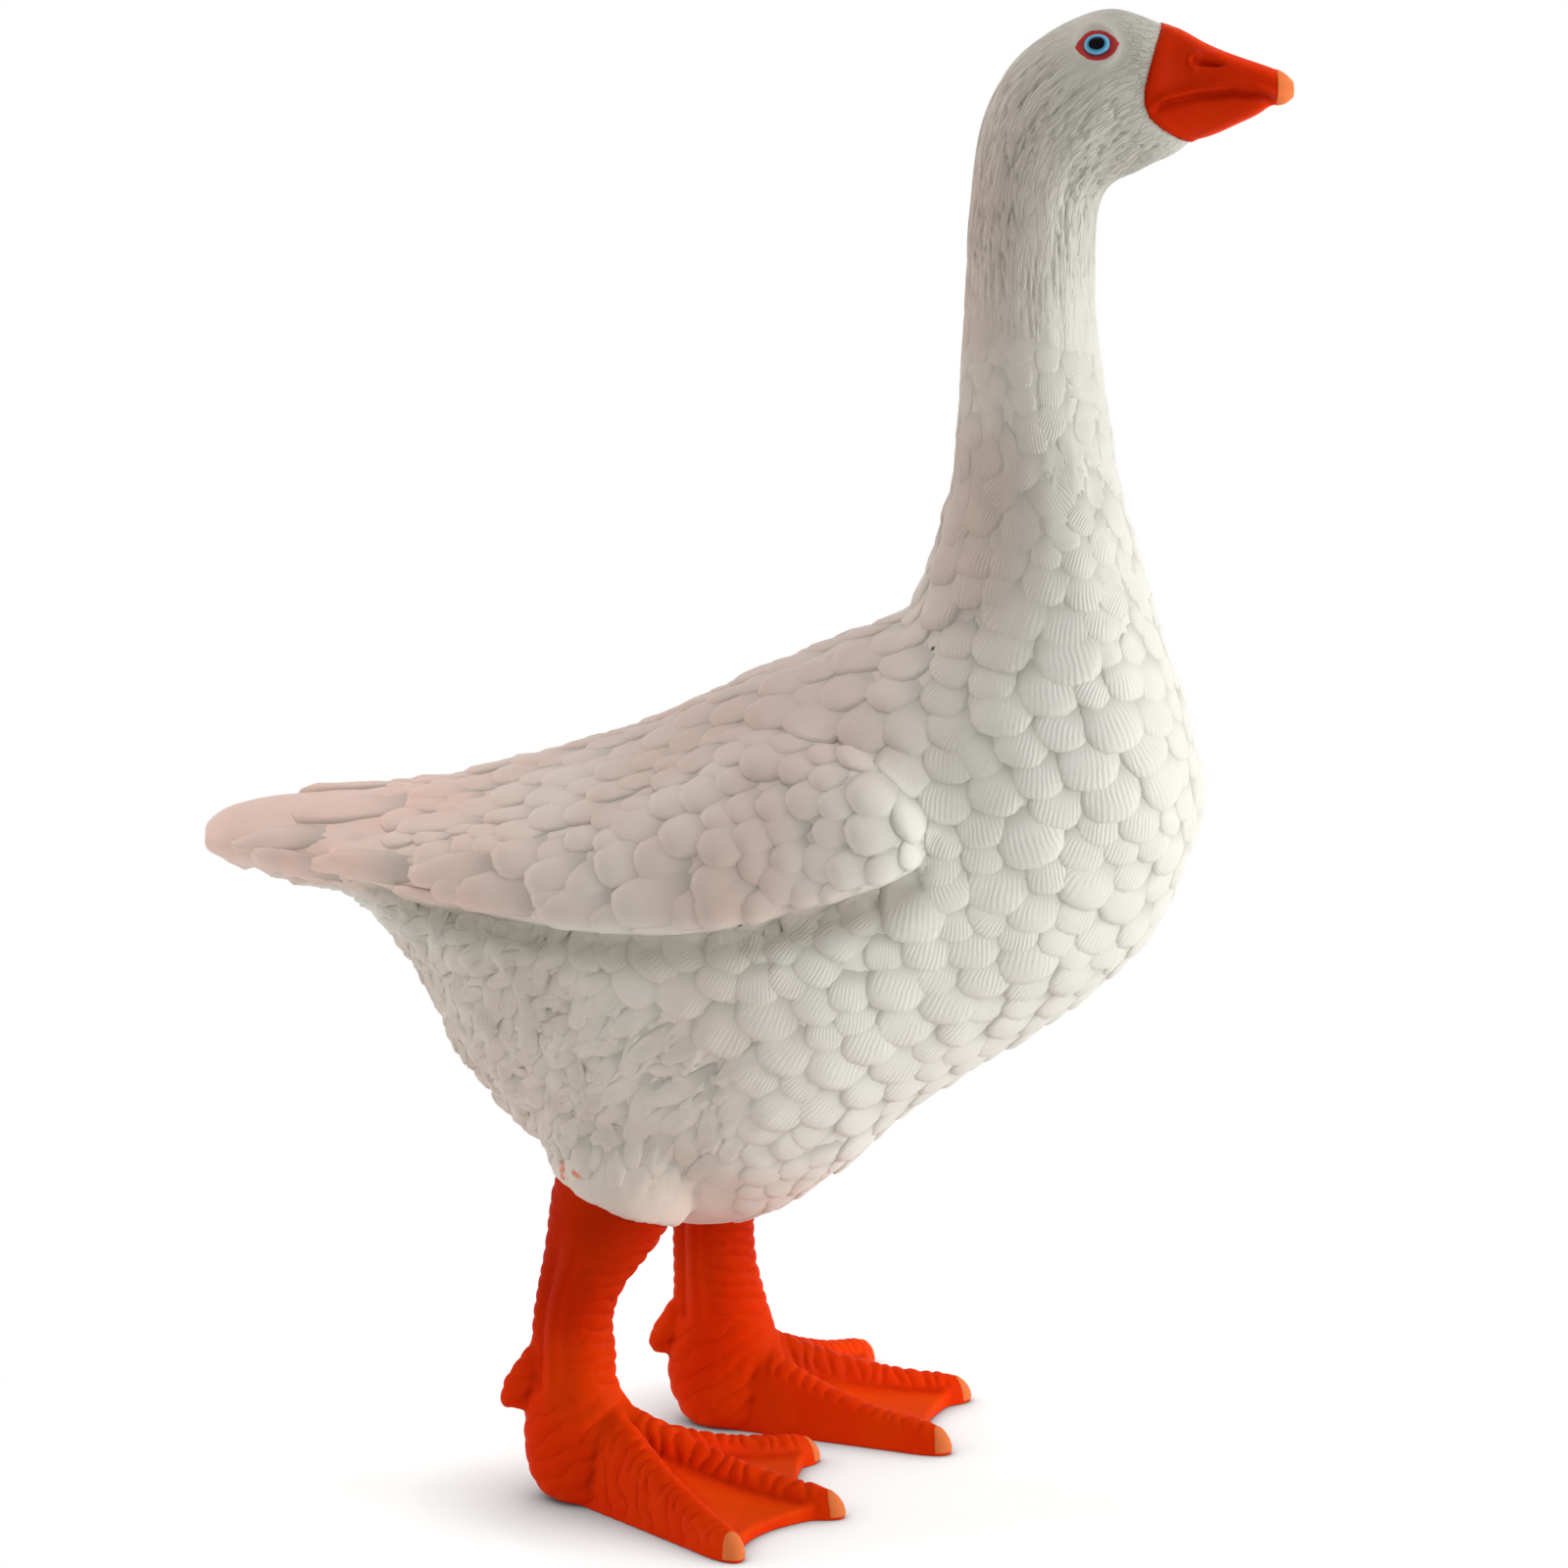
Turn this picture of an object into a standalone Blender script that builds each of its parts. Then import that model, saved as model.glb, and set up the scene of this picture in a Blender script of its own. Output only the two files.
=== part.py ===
import math

import bmesh
import bpy
import numpy as np
from mathutils import Vector
from mathutils.bvhtree import BVHTree
from mathutils.kdtree import KDTree

# Driving dimensions, in metres. The goose faces +X and stands on Z = 0.
TRUNK_LENGTH = 0.0512
TRUNK_DEPTH = 0.0321
TRUNK_WIDTH = 0.0226
BELLY_HEIGHT = 0.0126
TAIL_TIP_X = -0.0276
NECK_SETBACK = 0.0126
NECK_LENGTH = 0.0210
NECK_DEPTH = 0.0070
NECK_WIDTH = 0.0064
HEAD_LENGTH = 0.0101
HEAD_HEIGHT = 0.0100
HEAD_WIDTH = 0.0064
BILL_LENGTH = 0.0065
BILL_HEIGHT = 0.0059
BILL_WIDTH = 0.0046
MOUTH_DEPTH = 0.00025
EYE_DIAMETER = 0.0013
WING_LENGTH = 0.0300
WING_DEPTH = 0.0094
WING_RISE = 0.0012
WRIST_SETBACK = 0.0014
LEG_SPACING = 0.0124
STRIDE = 0.0069
LEG_DEPTH = 0.0042
LEG_WIDTH = 0.0037
LEG_ROOT = 0.0064
HIP_INWARD = 0.0011
HEEL_X = -0.0096
HIND_TOE_WIDTH = 0.00145
HIND_TOE_DEPTH = 0.0017
INNER_TOE = 0.0148
MIDDLE_TOE = 0.0153
OUTER_TOE = 0.0141
ANKLE_INSET = 0.0022
TOE_WIDTH = 0.0017
TOE_FLARE = 0.0016
TOE_HEIGHT = 0.0015
INSTEP_HEIGHT = 0.0061
WEB_DROP = 0.00062
WEB_HOLLOW = 0.00038
FEATHER_LIFT = 0.00062
FEATHER_LENGTH = 0.0044
FEATHER_WIDTH = 0.0035
FLIGHT_FEATHER_DEPTH = 0.0030
LEG_COVER = 0.0054
SKIN_MARGIN = 0.0007
MOUTH_WIDTH = 0.00028
BILL_OVERLAP = 0.0006
MOUTH_FADE = 0.0008
NOSTRIL_SIZE = 0.00050

# How fine the surface is worked.
VOXEL = 0.00030
STEPS = 6
EDGE_SOFTNESS = 0.00030
GROUND_MARGIN = 0.0005
TRIANGLES = 10800
SEED = 7

# Sections of the trunk: top x, top z, bottom x, bottom z, half width and widest place down the
# section, as shares of the trunk's length, depth and half width.
TRUNK_SECTIONS = [
    (0.004, 0.660, 0.004, 0.626, 0.11, 0.50),
    (0.027, 0.685, 0.027, 0.608, 0.22, 0.50),
    (0.094, 0.704, 0.098, 0.583, 0.38, 0.50),
    (0.176, 0.723, 0.160, 0.542, 0.55, 0.48),
    (0.260, 0.745, 0.203, 0.455, 0.69, 0.45),
    (0.348, 0.782, 0.242, 0.330, 0.81, 0.44),
    (0.426, 0.816, 0.291, 0.224, 0.90, 0.43),
    (0.490, 0.860, 0.354, 0.134, 0.96, 0.43),
    (0.553, 0.913, 0.426, 0.050, 0.99, 0.44),
    (0.611, 0.947, 0.510, 0.009, 1.00, 0.45),
    (0.660, 0.975, 0.609, 0.075, 0.99, 0.47),
    (0.693, 0.994, 0.721, 0.224, 0.96, 0.50),
    (0.717, 1.025, 0.861, 0.371, 0.90, 0.54),
    (0.725, 1.065, 0.951, 0.514, 0.83, 0.57),
    (0.734, 1.112, 0.994, 0.698, 0.73, 0.60),
    (0.742, 1.174, 0.988, 0.794, 0.64, 0.60),
    (0.748, 1.227, 0.963, 0.947, 0.53, 0.58),
]
NECK_SECTIONS = [
    (0.00, 0.505, 1.23, 0.252, 1.41, 0.54),
    (0.03, 0.705, 1.04, 0.586, 1.13, 0.50),
    (0.06, 0.881, 0.97, 0.833, 1.00, 0.50),
    (0.07, 1.014, 0.986, 0.976, 0.97, 0.50),
]
HEAD_SECTIONS = [
    (0.10, 0.39, 0.73, 0.10, 1.00, 0.50),
    (0.20, 0.64, 0.83, 0.16, 1.03, 0.50),
    (0.36, 0.82, 0.93, 0.21, 1.03, 0.48),
    (0.55, 0.94, 1.02, 0.25, 1.00, 0.46),
    (0.77, 0.99, 1.10, 0.30, 0.91, 0.46),
    (1.00, 0.91, 1.17, 0.34, 0.74, 0.50),
]
BILL_SECTIONS = [
    (0.17, 0.93, 0.37, 0.08, 0.86, 0.52),
    (0.43, 0.80, 0.54, 0.15, 0.70, 0.52),
    (0.69, 0.66, 0.72, 0.25, 0.57, 0.50),
    (0.88, 0.58, 0.89, 0.32, 0.43, 0.50),
    (0.985, 0.47, 0.985, 0.41, 0.20, 0.50),
]
# The wing from the wrist to the rear tip: share of its length, lower edge and upper edge.
WING_EDGES = [
    (0.00, 0.53, 0.53),
    (0.02, 0.38, 0.68),
    (0.06, 0.31, 0.82),
    (0.15, 0.20, 0.98),
    (0.30, 0.06, 1.03),
    (0.50, 0.00, 0.80),
    (0.70, 0.05, 0.60),
    (0.85, 0.13, 0.49),
    (1.00, 0.22, 0.40),
]

# Each leg from the ground to its root in the body: share of its height, back edge and front edge
# from the heel as shares of its depth, and half width as a share of its own.
BENT_LEG = [
    (0.00, 0.00, 1.10, 0.86),
    (0.02, -0.14, 1.17, 1.08),
    (0.06, -0.26, 1.19, 1.19),
    (0.11, -0.33, 1.19, 1.22),
    (0.17, -0.36, 1.14, 1.19),
    (0.23, -0.35, 1.02, 1.14),
    (0.33, -0.30, 0.77, 1.05),
    (0.48, -0.25, 0.73, 0.97),
    (0.56, -0.20, 0.80, 1.00),
    (0.63, -0.15, 0.99, 1.08),
    (0.76, -0.05, 1.43, 1.30),
    (1.00, 0.29, 1.95, 1.51),
]
STRAIGHT_LEG = [
    (0.00, 0.00, 1.10, 0.86),
    (0.02, -0.10, 1.17, 1.08),
    (0.05, -0.18, 1.21, 1.19),
    (0.10, -0.27, 1.21, 1.22),
    (0.17, -0.30, 1.19, 1.19),
    (0.24, -0.27, 1.12, 1.14),
    (0.31, -0.24, 1.01, 1.05),
    (0.38, -0.23, 0.90, 1.00),
    (0.47, -0.23, 0.81, 0.97),
    (0.58, -0.23, 0.79, 1.00),
    (0.67, -0.18, 0.83, 1.08),
    (0.76, -0.10, 0.98, 1.19),
    (1.00, 0.24, 1.43, 1.41),
]
# The fin of the hind toe down its middle: share of its reach behind the heel, share of its height
# above its tip, then width and depth as shares of their own.
HIND_TOE = [
    (-0.08, 1.00, 0.62, 0.53),
    (0.11, 0.78, 0.83, 0.71),
    (0.32, 0.55, 0.93, 0.88),
    (0.52, 0.34, 1.00, 1.00),
    (0.67, 0.19, 0.93, 1.00),
    (0.80, 0.08, 0.79, 0.82),
    (0.92, 0.02, 0.59, 0.59),
    (1.00, 0.00, 0.28, 0.29),
]
# For each side: sections of the leg, then reach, tip height and height of the hind toe.
LEGS = {
    -1: (BENT_LEG, 0.0026, 0.0050, 0.0044),
    1: (STRAIGHT_LEG, 0.0022, 0.0041, 0.0035),
}
# Length of each toe and its angle from straight ahead, outwards, from the outer toe inwards.
TOES = [(OUTER_TOE, 47), (MIDDLE_TOE, 13), (INNER_TOE, -23)]

# Length, width and lift of each kind of feather, as shares of the plain one.
FEATHERS = {
    "plain": (1.0, 1.0, 1.0),
    "neck": (0.75, 0.75, 0.45),
    "tail": (2.0, 0.9, 0.7),
    "flight": (2.1, 1.0, 1.1),
    "vent": (0.75, 0.75, 1.2),
}
# How a toe's crest falls towards its tip, and the share of its length where the round tip begins.
TOE_FALL = 1.7
TOE_ROUND_START = 0.87
# How far the feathers of one row and of the next lie apart, as shares of their length and width.
ROW_GAP = 0.52
SIDE_GAP = 0.84

# Section numbers from the tail tip, where the kind of feather changes.
TAIL_END = 3.4
NECK_START = 16.5
FEATHERS_TOP = 18.6
# Shares of the wing and of the trunk behind which the flight feathers and the vent begin.
FLIGHT_START = 0.28
VENT_END = 0.40

BREAST_X = TAIL_TIP_X + TRUNK_LENGTH
NECK_X = BREAST_X - NECK_SETBACK
NECK_Z = BELLY_HEIGHT + TRUNK_DEPTH
HEAD_Z = NECK_Z + NECK_LENGTH
BILL_X = NECK_X + HEAD_LENGTH
BILL_Z = HEAD_Z + 0.33 * HEAD_HEIGHT
WRIST_X = NECK_X - WRIST_SETBACK
WING_Z = BELLY_HEIGHT + 0.564 * TRUNK_DEPTH
EYE = (NECK_X + 0.66 * HEAD_LENGTH, HEAD_Z + 0.85 * HEAD_HEIGHT)


def placed(sections, x, length, z, height, width):
    """Sections in metres, from shares of a box that starts at x, z."""
    rows = np.array(sections)
    rows[:, [0, 2]] = x + length * rows[:, [0, 2]]
    rows[:, [1, 3]] = z + height * rows[:, [1, 3]]
    rows[:, 4] *= width / 2
    return rows


def smoothed(rows, steps):
    """A natural cubic spline through the rows, with the same number of steps in each gap."""
    gaps = np.linalg.norm(np.diff(rows[:, :-1], axis=0), axis=1) ** 0.7
    count = len(rows)
    system = np.eye(count)
    target = np.zeros_like(rows)
    slopes = np.diff(rows, axis=0) / gaps[:, None]
    for i in range(1, count - 1):
        system[i, i - 1 : i + 2] = gaps[i - 1], 2 * (gaps[i - 1] + gaps[i]), gaps[i]
        target[i] = 6 * (slopes[i] - slopes[i - 1])
    bends = np.linalg.solve(system, target)
    share = (np.arange(steps) / steps)[:, None]
    parts = []
    for i, gap in enumerate(gaps):
        near = 1 - share
        curve = near * rows[i] + share * rows[i + 1]
        curve += gap**2 / 6 * ((near**3 - near) * bends[i] + (share**3 - share) * bends[i + 1])
        parts.append(curve)
    return np.vstack(parts + [rows[-1:]])


def section_rows():
    """All sections of the skin, from the tail tip to the bill tip."""
    return np.vstack([
        placed(TRUNK_SECTIONS, TAIL_TIP_X, TRUNK_LENGTH, BELLY_HEIGHT, TRUNK_DEPTH, TRUNK_WIDTH),
        placed(NECK_SECTIONS, NECK_X, NECK_DEPTH, NECK_Z, NECK_LENGTH, NECK_WIDTH),
        placed(HEAD_SECTIONS, NECK_X, HEAD_LENGTH, HEAD_Z, HEAD_HEIGHT, HEAD_WIDTH),
        placed(BILL_SECTIONS, BILL_X, BILL_LENGTH, BILL_Z, BILL_HEIGHT, BILL_WIDTH),
    ])


def ring_points(rows, around):
    """Points of each section as an array of rings, starting at the top."""
    turn = np.linspace(0, 2 * math.pi, around, endpoint=False)
    down = (1 - np.cos(turn)) / 2
    shift = (rows[:, 5] - 0.5)[:, None] * np.sin(turn) ** 2
    share = down[None, :] + shift
    x = rows[:, 0, None] * (1 - share) + rows[:, 2, None] * share
    z = rows[:, 1, None] * (1 - share) + rows[:, 3, None] * share
    y = rows[:, 4, None] * np.sin(turn)
    return np.stack([x, y, z], axis=2)


def add_loft(mesh, rings):
    """A closed solid through rings of equal length."""
    verts = [[mesh.verts.new(point) for point in ring] for ring in rings]
    for near, far in zip(verts, verts[1:]):
        for i in range(len(near)):
            j = (i + 1) % len(near)
            mesh.faces.new((near[i], near[j], far[j], far[i]))
    mesh.faces.new(verts[0][::-1])
    mesh.faces.new(verts[-1])


def add_slab(mesh, top, bottom):
    """A closed solid between two grids of points."""
    rows, columns = top.shape[:2]
    upper = [[mesh.verts.new(point) for point in line] for line in top]
    lower = [[mesh.verts.new(point) for point in line] for line in bottom]
    for i in range(rows - 1):
        for j in range(columns - 1):
            mesh.faces.new((upper[i][j], upper[i + 1][j], upper[i + 1][j + 1], upper[i][j + 1]))
            mesh.faces.new((lower[i][j], lower[i][j + 1], lower[i + 1][j + 1], lower[i + 1][j]))
    rim = [(i, 0) for i in range(rows)]
    rim += [(rows - 1, j) for j in range(1, columns)]
    rim += [(i, columns - 1) for i in range(rows - 2, -1, -1)]
    rim += [(0, j) for j in range(columns - 2, 0, -1)]
    for (i, j), (k, m) in zip(rim, rim[1:] + rim[:1]):
        mesh.faces.new((upper[i][j], lower[i][j], lower[k][m], upper[k][m]))


def wing_grids(skin, side):
    """Outer and inner surface of one folded wing, laid on the skin."""
    edges = smoothed(np.array(WING_EDGES), 5)
    across = np.linspace(0, 1, 15)
    outer = np.zeros((len(edges), len(across), 3))
    inner = np.zeros_like(outer)
    for i, (along, low, high) in enumerate(edges):
        x = WRIST_X - along * WING_LENGTH
        for j, t in enumerate(across):
            z = WING_Z + (low * (1 - t) + high * t) * WING_DEPTH
            beside = Vector((x, side * TRUNK_WIDTH, z))
            hit, normal = skin.ray_cast(beside, Vector((0, -side, 0)))[:2]
            if hit is None:
                hit, normal = skin.find_nearest(Vector((x, side * TRUNK_WIDTH / 4, z)))[:2]
            edge = min(t * (high - low) * WING_DEPTH, along * WING_LENGTH) / WING_RISE
            bank = math.sqrt(1 - (1 - min(edge, 1)) ** 2)
            fade = 1 - max(0.0, (t - 0.45) / 0.55) ** 1.5
            tail_fade = 1 - 0.5 * max(0.0, (along - 0.6) / 0.4)
            rise = WING_RISE * (1.25 * bank * fade * tail_fade - 0.25)
            outer[i, j] = hit + normal * rise
            inner[i, j] = hit - normal * WING_RISE
    return outer, inner


def tube(points, widths, heights, sides=14):
    """Rings of an elliptical rod through points; width is measured level and across the run."""
    run = Vector(points[-1]) - Vector(points[0])
    across = Vector((-run.y, run.x, 0)).normalized()
    rings = []
    count = len(points)
    for i, (point, width, height) in enumerate(zip(points, widths, heights)):
        ahead = Vector(points[min(i + 1, count - 1)]) - Vector(points[max(i - 1, 0)])
        up = ahead.normalized().cross(across)
        ring = []
        for k in range(sides):
            angle = 2 * math.pi * k / sides
            offset = across * (math.cos(angle) * width / 2) + up * (math.sin(angle) * height / 2)
            ring.append(Vector(point) + offset)
        rings.append(ring)
    return rings


def add_leg(mesh, side, heel_x):
    """The shank from the ground up into the body, with the hind toe behind it."""
    sections, reach, tip_z, rise = LEGS[side]
    height = BELLY_HEIGHT + LEG_ROOT
    y = side * LEG_SPACING / 2
    rings = []
    for up, back, front, half in smoothed(np.array(sections), 3):
        z = max(up, 0) * height - GROUND_MARGIN * (up < 0.01)
        centre = (heel_x + LEG_DEPTH * (front + back) / 2, y - side * HIP_INWARD * max(0.0, up - 0.5) * 2, z)
        rings.append(ellipse(centre, LEG_DEPTH * (front - back) / 2, LEG_WIDTH * half / 2))
    add_loft(mesh, rings)
    fin = smoothed(np.array(HIND_TOE), 2)
    points = [(heel_x - reach * row[0], y, tip_z + rise * row[1]) for row in fin]
    add_loft(mesh, tube(points, HIND_TOE_WIDTH * fin[:, 2], HIND_TOE_DEPTH * fin[:, 3]))
    root = [(heel_x + 0.4 * reach, y, tip_z + 0.1 * rise), (heel_x - 0.5 * reach, y, tip_z + 0.1 * rise)]
    add_loft(mesh, tube(root, [HIND_TOE_WIDTH] * 2, [HIND_TOE_DEPTH] * 2))


def ellipse(centre, half_x, half_y, sides=20):
    turn = np.linspace(0, 2 * math.pi, sides, endpoint=False)
    x = centre[0] + half_x * np.cos(turn)
    y = centre[1] + half_y * np.sin(turn)
    return np.stack([x, y, np.full(sides, centre[2])], axis=1)


def toe_end(share):
    """0 along a toe, rising to 1 over its rounded tip."""
    return min(max((share - TOE_ROUND_START) / (1 - TOE_ROUND_START), 0), 1)


def toe_crest(share):
    """Height of a toe's ridge, from the instep at share 0 to its tip at 1."""
    near = max(1 - share, 0)
    return (TOE_HEIGHT + (INSTEP_HEIGHT - TOE_HEIGHT) * near**TOE_FALL) * math.sqrt(1 - 0.96 * toe_end(share) ** 2.6)


def toe_half_width(share):
    return (TOE_WIDTH + TOE_FLARE * max(1 - share, 0) ** 1.2) / 2 * math.sqrt(1 - 0.97 * toe_end(share) ** 2)


def toe_lines(heel_x, side):
    """Ankle and run on the ground of each toe; the run is as long as the toe's part beyond it."""
    y = side * LEG_SPACING / 2
    start = np.array((heel_x + ANKLE_INSET, y))
    lines = []
    for length, angle in TOES:
        turn = math.radians(angle)
        tip = np.array((heel_x + math.cos(turn) * length, y + side * math.sin(turn) * length))
        lines.append((start, tip - start))
    return lines


def add_toe(mesh, start, run):
    """A ridge that is steep at its sides and runs out to a blunt tip."""
    across = np.array((-run[1], run[0])) / np.linalg.norm(run)
    rings = []
    for share in (0.0, 0.1, 0.2, 0.3, 0.4, 0.5, 0.6, 0.7, 0.8, 0.87, 0.92, 0.96, 0.99, 1.0):
        middle = start + run * share
        ring = []
        for angle in np.linspace(-math.pi / 2, math.pi / 2, 15):
            place = middle + across * toe_half_width(share) * math.sin(angle)
            up = max(math.cos(angle), 0)
            ring.append((place[0], place[1], toe_crest(share) * up**0.75 - GROUND_MARGIN * (1 - up)))
        rings.append(ring)
    add_loft(mesh, rings)


def add_web(mesh, first, second):
    """A skin from toe to toe, hollow on top and at its front edge."""
    across = np.linspace(0, 1, 13)
    along = np.linspace(0.05, 0.955, 13)
    top = np.zeros((len(along), len(across), 3))
    for i, share in enumerate(along):
        for j, t in enumerate(across):
            hollow = 4 * t * (1 - t)
            reach = share * (1 - 0.10 * hollow)
            place = (first[0] + first[1] * reach) * (1 - t) + (second[0] + second[1] * reach) * t
            top[i, j, :2] = place
            top[i, j, 2] = max(toe_crest(min(reach, 0.86)) - WEB_DROP - WEB_HOLLOW * hollow, GROUND_MARGIN)
    bottom = top.copy()
    bottom[:, :, 2] = -GROUND_MARGIN
    add_slab(mesh, top, bottom)


def add_foot(mesh, side, heel_x):
    """Three toes joined by webs."""
    lines = toe_lines(heel_x, side)
    for start, run in lines:
        add_toe(mesh, start, run)
    for first, second in zip(lines, lines[1:]):
        add_web(mesh, first, second)


def solid_object(name, mesh):
    bmesh.ops.recalc_face_normals(mesh, faces=mesh.faces)
    data = bpy.data.meshes.new(name)
    mesh.to_mesh(data)
    mesh.free()
    obj = bpy.data.objects.new(name, data)
    bpy.context.scene.collection.objects.link(obj)
    return obj


def plain_goose(rings):
    """The goose without its carving, as one closed surface of even faces."""
    mesh = bmesh.new()
    add_loft(mesh, rings)
    bmesh.ops.recalc_face_normals(mesh, faces=mesh.faces)
    skin = BVHTree.FromBMesh(mesh)
    for side in (-1, 1):
        add_slab(mesh, *wing_grids(skin, side))
        heel_x = HEEL_X + (STRIDE if side > 0 else 0)
        add_leg(mesh, side, heel_x)
        add_foot(mesh, side, heel_x)
    obj = solid_object("plain", mesh)
    remesh = obj.modifiers.new("even", "REMESH")
    remesh.mode = "VOXEL"
    remesh.voxel_size = VOXEL
    smooth = obj.modifiers.new("smooth", "SMOOTH")
    smooth.factor = 0.5
    smooth.iterations = 3
    data = bpy.data.meshes.new_from_object(obj.evaluated_get(bpy.context.evaluated_depsgraph_get()))
    bpy.data.objects.remove(obj)
    return data


class Surface:
    """Points of the plain goose, with the nearest section of the skin and the flow there."""

    def __init__(self, data, rings):
        count = len(data.vertices)
        points = np.empty(count * 3)
        data.vertices.foreach_get("co", points)
        self.points = points.reshape(-1, 3)
        normals = np.empty(count * 3)
        data.vertices.foreach_get("normal", normals)
        self.normals = normals.reshape(-1, 3)
        self.tree = KDTree(count)
        for i, point in enumerate(self.points):
            self.tree.insert(point, i)
        self.tree.balance()
        ring_tree = KDTree(rings.shape[0] * rings.shape[1])
        flat = rings.reshape(-1, 3)
        for i, point in enumerate(flat):
            ring_tree.insert(point, i)
        ring_tree.balance()
        found = [ring_tree.find(point) for point in self.points]
        index = np.array([item[1] for item in found])
        self.gap = np.array([item[2] for item in found])
        self.station = index // rings.shape[1] / STEPS
        self.flow = flow_directions(rings).reshape(-1, 3)[index]

    def near(self, centre, reach):
        found = self.tree.find_range(centre, reach)
        return np.array([item[1] for item in found])


def flow_directions(rings):
    """Unit vectors along the skin from head to tail, one for each ring point."""
    along = np.zeros_like(rings)
    along[1:-1] = rings[:-2] - rings[2:]
    along[0] = rings[0] - rings[1]
    along[-1] = rings[-2] - rings[-1]
    return along / np.maximum(np.linalg.norm(along, axis=2, keepdims=True), 1e-9)


def wing_place(x, z):
    """Height above the lower edge of the wing, and share of its length behind the wrist."""
    edges = np.array(WING_EDGES)
    along = (WRIST_X - x) / WING_LENGTH
    low = np.interp(along, edges[:, 0], edges[:, 1])
    return z - WING_Z - low * WING_DEPTH, along


def on_leg(z, gap):
    """Whether a point at height z, this far from the skin, is on a leg or foot."""
    return (z < BELLY_HEIGHT + LEG_COVER) & (gap > SKIN_MARGIN)


def feather_kind(point, station, gap):
    """Name of the kind of feather here, or None."""
    x, y, z = point
    above, along = wing_place(x, z)
    if station > FEATHERS_TOP or on_leg(z, gap):
        return None
    if station > NECK_START:
        return "neck"
    if station < TAIL_END:
        return "tail"
    if FLIGHT_START < along < 1 and 0 < above < FLIGHT_FEATHER_DEPTH:
        return "flight"
    if above < 0 and x < TAIL_TIP_X + VENT_END * TRUNK_LENGTH:
        return "vent"
    return "plain"


def feather_seats(surface):
    """Seats of the feathers, row by row from the neck to the tail."""
    taken = np.zeros(len(surface.points), bool)
    seats = []
    for i in np.argsort(-surface.station, kind="stable"):
        if taken[i]:
            continue
        kind = feather_kind(surface.points[i], surface.station[i], surface.gap[i])
        if kind is None:
            continue
        length, width, lift = np.array(FEATHERS[kind]) * (FEATHER_LENGTH, FEATHER_WIDTH, FEATHER_LIFT)
        seats.append((i, length, width, lift))
        near, along, across = local_places(surface, i, length)
        covered = (along / (ROW_GAP * length)) ** 2 + (across / (SIDE_GAP * width)) ** 2 < 1
        taken[near[covered]] = True
    return seats


def local_places(surface, i, reach):
    """Points near point i, with their distances along the flow and across it."""
    normal = surface.normals[i]
    along_axis = surface.flow[i] - normal * np.dot(surface.flow[i], normal)
    along_axis /= np.linalg.norm(along_axis)
    across_axis = np.cross(normal, along_axis)
    near = surface.near(surface.points[i], reach)
    near = near[surface.normals[near] @ normal > 0.2]
    offsets = surface.points[near] - surface.points[i]
    return near, offsets @ along_axis, offsets @ across_axis


def feather_heights(surface):
    """How far each point stands up for the feather that covers it."""
    heights = np.zeros(len(surface.points))
    chance = np.random.default_rng(SEED)
    for i, length, width, lift in feather_seats(surface):
        length *= chance.uniform(0.92, 1.08)
        lift *= chance.uniform(0.85, 1.15)
        near, along, across = local_places(surface, i, 0.8 * length)
        half = 0.60 * length
        round_part = np.maximum(along, 0) / half
        reach = np.sqrt(round_part**2 + (across / (0.56 * width)) ** 2)
        edge = np.clip((1 - reach) * half / EDGE_SOFTNESS, 0, 1)
        slope = np.clip(0.5 + 0.5 * along / half, 0.0, 1) ** 1.6
        dome = 1 - 0.4 * (across / width) ** 2
        heights[near] = np.maximum(heights[near], lift * slope * dome * edge * (along > -half))
    return heights


def carved(data, rings):
    """Moves the points of the plain goose for feathers, mouth, nostrils and eyes."""
    surface = Surface(data, rings)
    move = feather_heights(surface)
    x, y, z = surface.points.T
    body = np.clip((FEATHERS_TOP - surface.station) / 1.5, 0, 1)
    move -= 0.5 * FEATHER_LIFT * body * ~on_leg(z, surface.gap)
    on_bill = np.clip((x - BILL_X + BILL_OVERLAP) / MOUTH_FADE, 0, 1)
    mouth_z = BILL_Z + 0.33 * BILL_HEIGHT + 0.08 * BILL_HEIGHT * np.sin((x - BILL_X) / BILL_LENGTH * math.pi)
    move -= MOUTH_DEPTH * on_bill * np.exp(-(((z - mouth_z) / MOUTH_WIDTH) ** 2))
    nostril = (x - BILL_X - 0.33 * BILL_LENGTH) ** 2 + (z - BILL_Z - 0.70 * BILL_HEIGHT) ** 2
    move -= MOUTH_DEPTH * np.exp(-nostril / NOSTRIL_SIZE**2) * (np.abs(y) > 0.15 * BILL_WIDTH)
    from_eye = np.hypot(x - EYE[0], z - EYE[1]) / (EYE_DIAMETER / 2)
    move += 0.35 * EYE_DIAMETER * np.sqrt(np.clip(1 - from_eye**2, 0, 1)) * (np.abs(y) > 0.15 * HEAD_WIDTH)
    points = surface.points + surface.normals * move[:, None]
    data.vertices.foreach_set("co", points.reshape(-1))
    data.update()


def main():
    for obj in list(bpy.data.objects):
        bpy.data.objects.remove(obj)
    rings = ring_points(smoothed(section_rows(), STEPS), 56)
    data = plain_goose(rings)
    carved(data, rings)
    goose = bpy.data.objects.new("goose", data)
    bpy.context.scene.collection.objects.link(goose)
    goose.data.materials.append(white_plastic())
    facets = goose.modifiers.new("facets", "DECIMATE")
    facets.ratio = TRIANGLES / (2 * len(data.polygons))
    ground = ground_cutter()
    soles = goose.modifiers.new("soles", "BOOLEAN")
    soles.operation = "DIFFERENCE"
    soles.solver = "EXACT"
    soles.object = ground


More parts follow.
